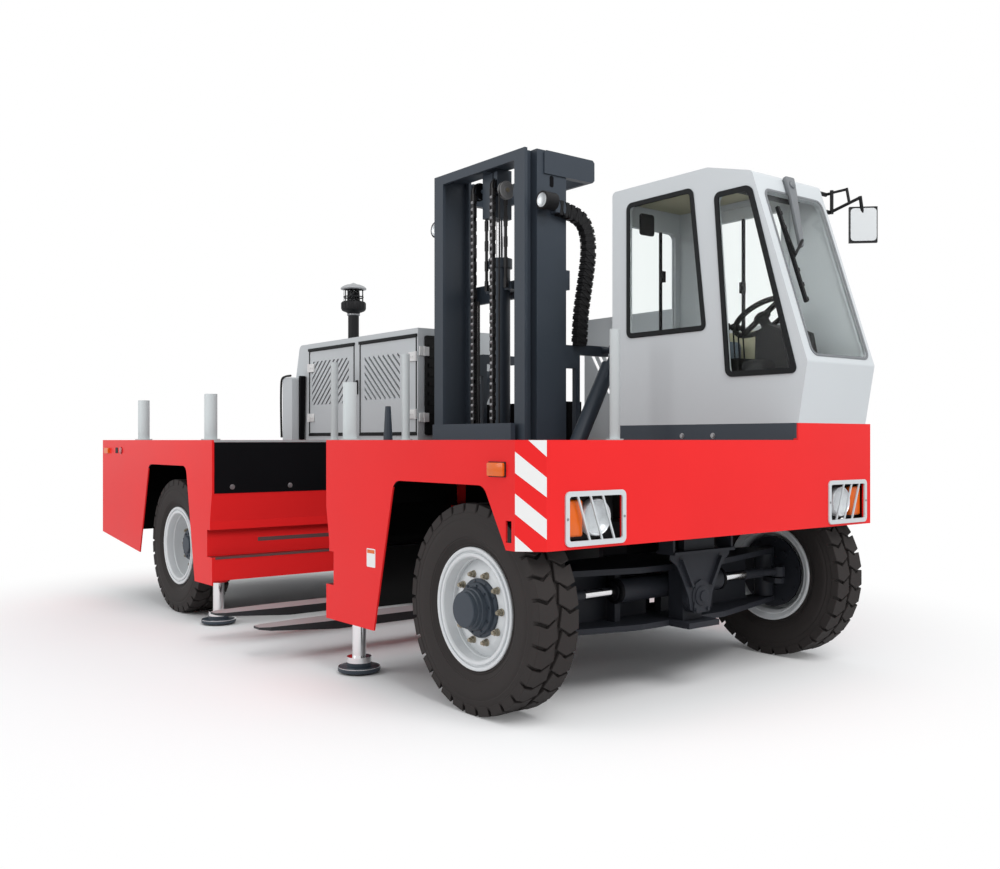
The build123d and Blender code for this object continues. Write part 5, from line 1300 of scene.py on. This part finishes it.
# %% Floor, world and lamps
floor_shape = bmesh.new()
bmesh.ops.create_grid(floor_shape, x_segments=1, y_segments=1, size=60)
floor_mesh = bpy.data.meshes.new("floor")
floor_shape.to_mesh(floor_mesh)
floor_shape.free()
floor = bpy.data.objects.new("floor", floor_mesh)
bpy.context.scene.collection.objects.link(floor)
floor_white = bpy.data.materials.new("floor_white")
floor_white.use_nodes = True
tree = floor_white.node_tree
shade = tree.nodes["Principled BSDF"]
shade.inputs["Base Color"].default_value = (0.93, 0.93, 0.93, 1)
shade.inputs["Roughness"].default_value = 0.9
# Far from the machine the camera sees plain white, so that no horizon shows
pure = node(tree, "ShaderNodeEmission", {"Color": (1, 1, 1, 1)})
spot = node(tree, "ShaderNodeTexCoord")
away = node(tree, "ShaderNodeVectorMath", operation="LENGTH")
fade = node(tree, "ShaderNodeMapRange", {"From Min": 2.2, "From Max": 4.6}, interpolation_type="SMOOTHSTEP")
seen = node(tree, "ShaderNodeLightPath")
blend = node(tree, "ShaderNodeMixShader")
tree.links.new(spot.outputs["Object"], away.inputs[0])
tree.links.new(away.outputs["Value"], fade.inputs["Value"])
plain = joined(tree, "MULTIPLY", fade.outputs["Result"], seen.outputs["Is Camera Ray"])
tree.links.new(plain, blend.inputs["Fac"])
tree.links.new(shade.outputs[0], blend.inputs[1])
tree.links.new(pure.outputs[0], blend.inputs[2])
tree.links.new(blend.outputs[0], tree.nodes["Material Output"].inputs["Surface"])
floor_mesh.materials.append(floor_white)

world = bpy.data.worlds.new("studio")
bpy.context.scene.world = world
world.use_nodes = True
tree = world.node_tree
sky = tree.nodes["Background"]
sky.inputs["Color"].default_value = (0.95, 0.97, 1.0, 1)
sky.inputs["Strength"].default_value = 0.62
# The background is plain white where it is seen directly, through glass or in a reflection
behind = node(tree, "ShaderNodeBackground", {"Color": (1, 1, 1, 1), "Strength": 1.0})
ray = node(tree, "ShaderNodeLightPath").outputs
choose = node(tree, "ShaderNodeMixShader")
white = joined(tree, "MAXIMUM", ray["Is Camera Ray"], ray["Is Transmission Ray"])
white = joined(tree, "MAXIMUM", white, ray["Is Glossy Ray"])
tree.links.new(white, choose.inputs["Fac"])
tree.links.new(sky.outputs[0], choose.inputs[1])
tree.links.new(behind.outputs[0], choose.inputs[2])
tree.links.new(choose.outputs[0], tree.nodes["World Output"].inputs["Surface"])

bpy.context.scene.view_settings.view_transform = "Standard"


def soft_lamp(name, place, look_at, size, watts):
    """A large square lamp that looks at a point."""
    lamp = bpy.data.objects.new(name, bpy.data.lights.new(name, "AREA"))
    bpy.context.scene.collection.objects.link(lamp)
    lamp.location = place
    lamp.rotation_euler = (Vector(look_at) - Vector(place)).to_track_quat("-Z", "Y").to_euler()
    lamp.data.shape = "SQUARE"
    lamp.data.size = size
    lamp.data.energy = watts
    lamp.visible_camera = False


soft_lamp("key", (7.5, -1.0, 7.5), (0.8, 0, 1.0), 5, 430)
soft_lamp("fill", (-2.0, -9.0, 5.0), (0, 0, 1.2), 6, 260)
print("lit by", len(bpy.data.lights), "lamps")
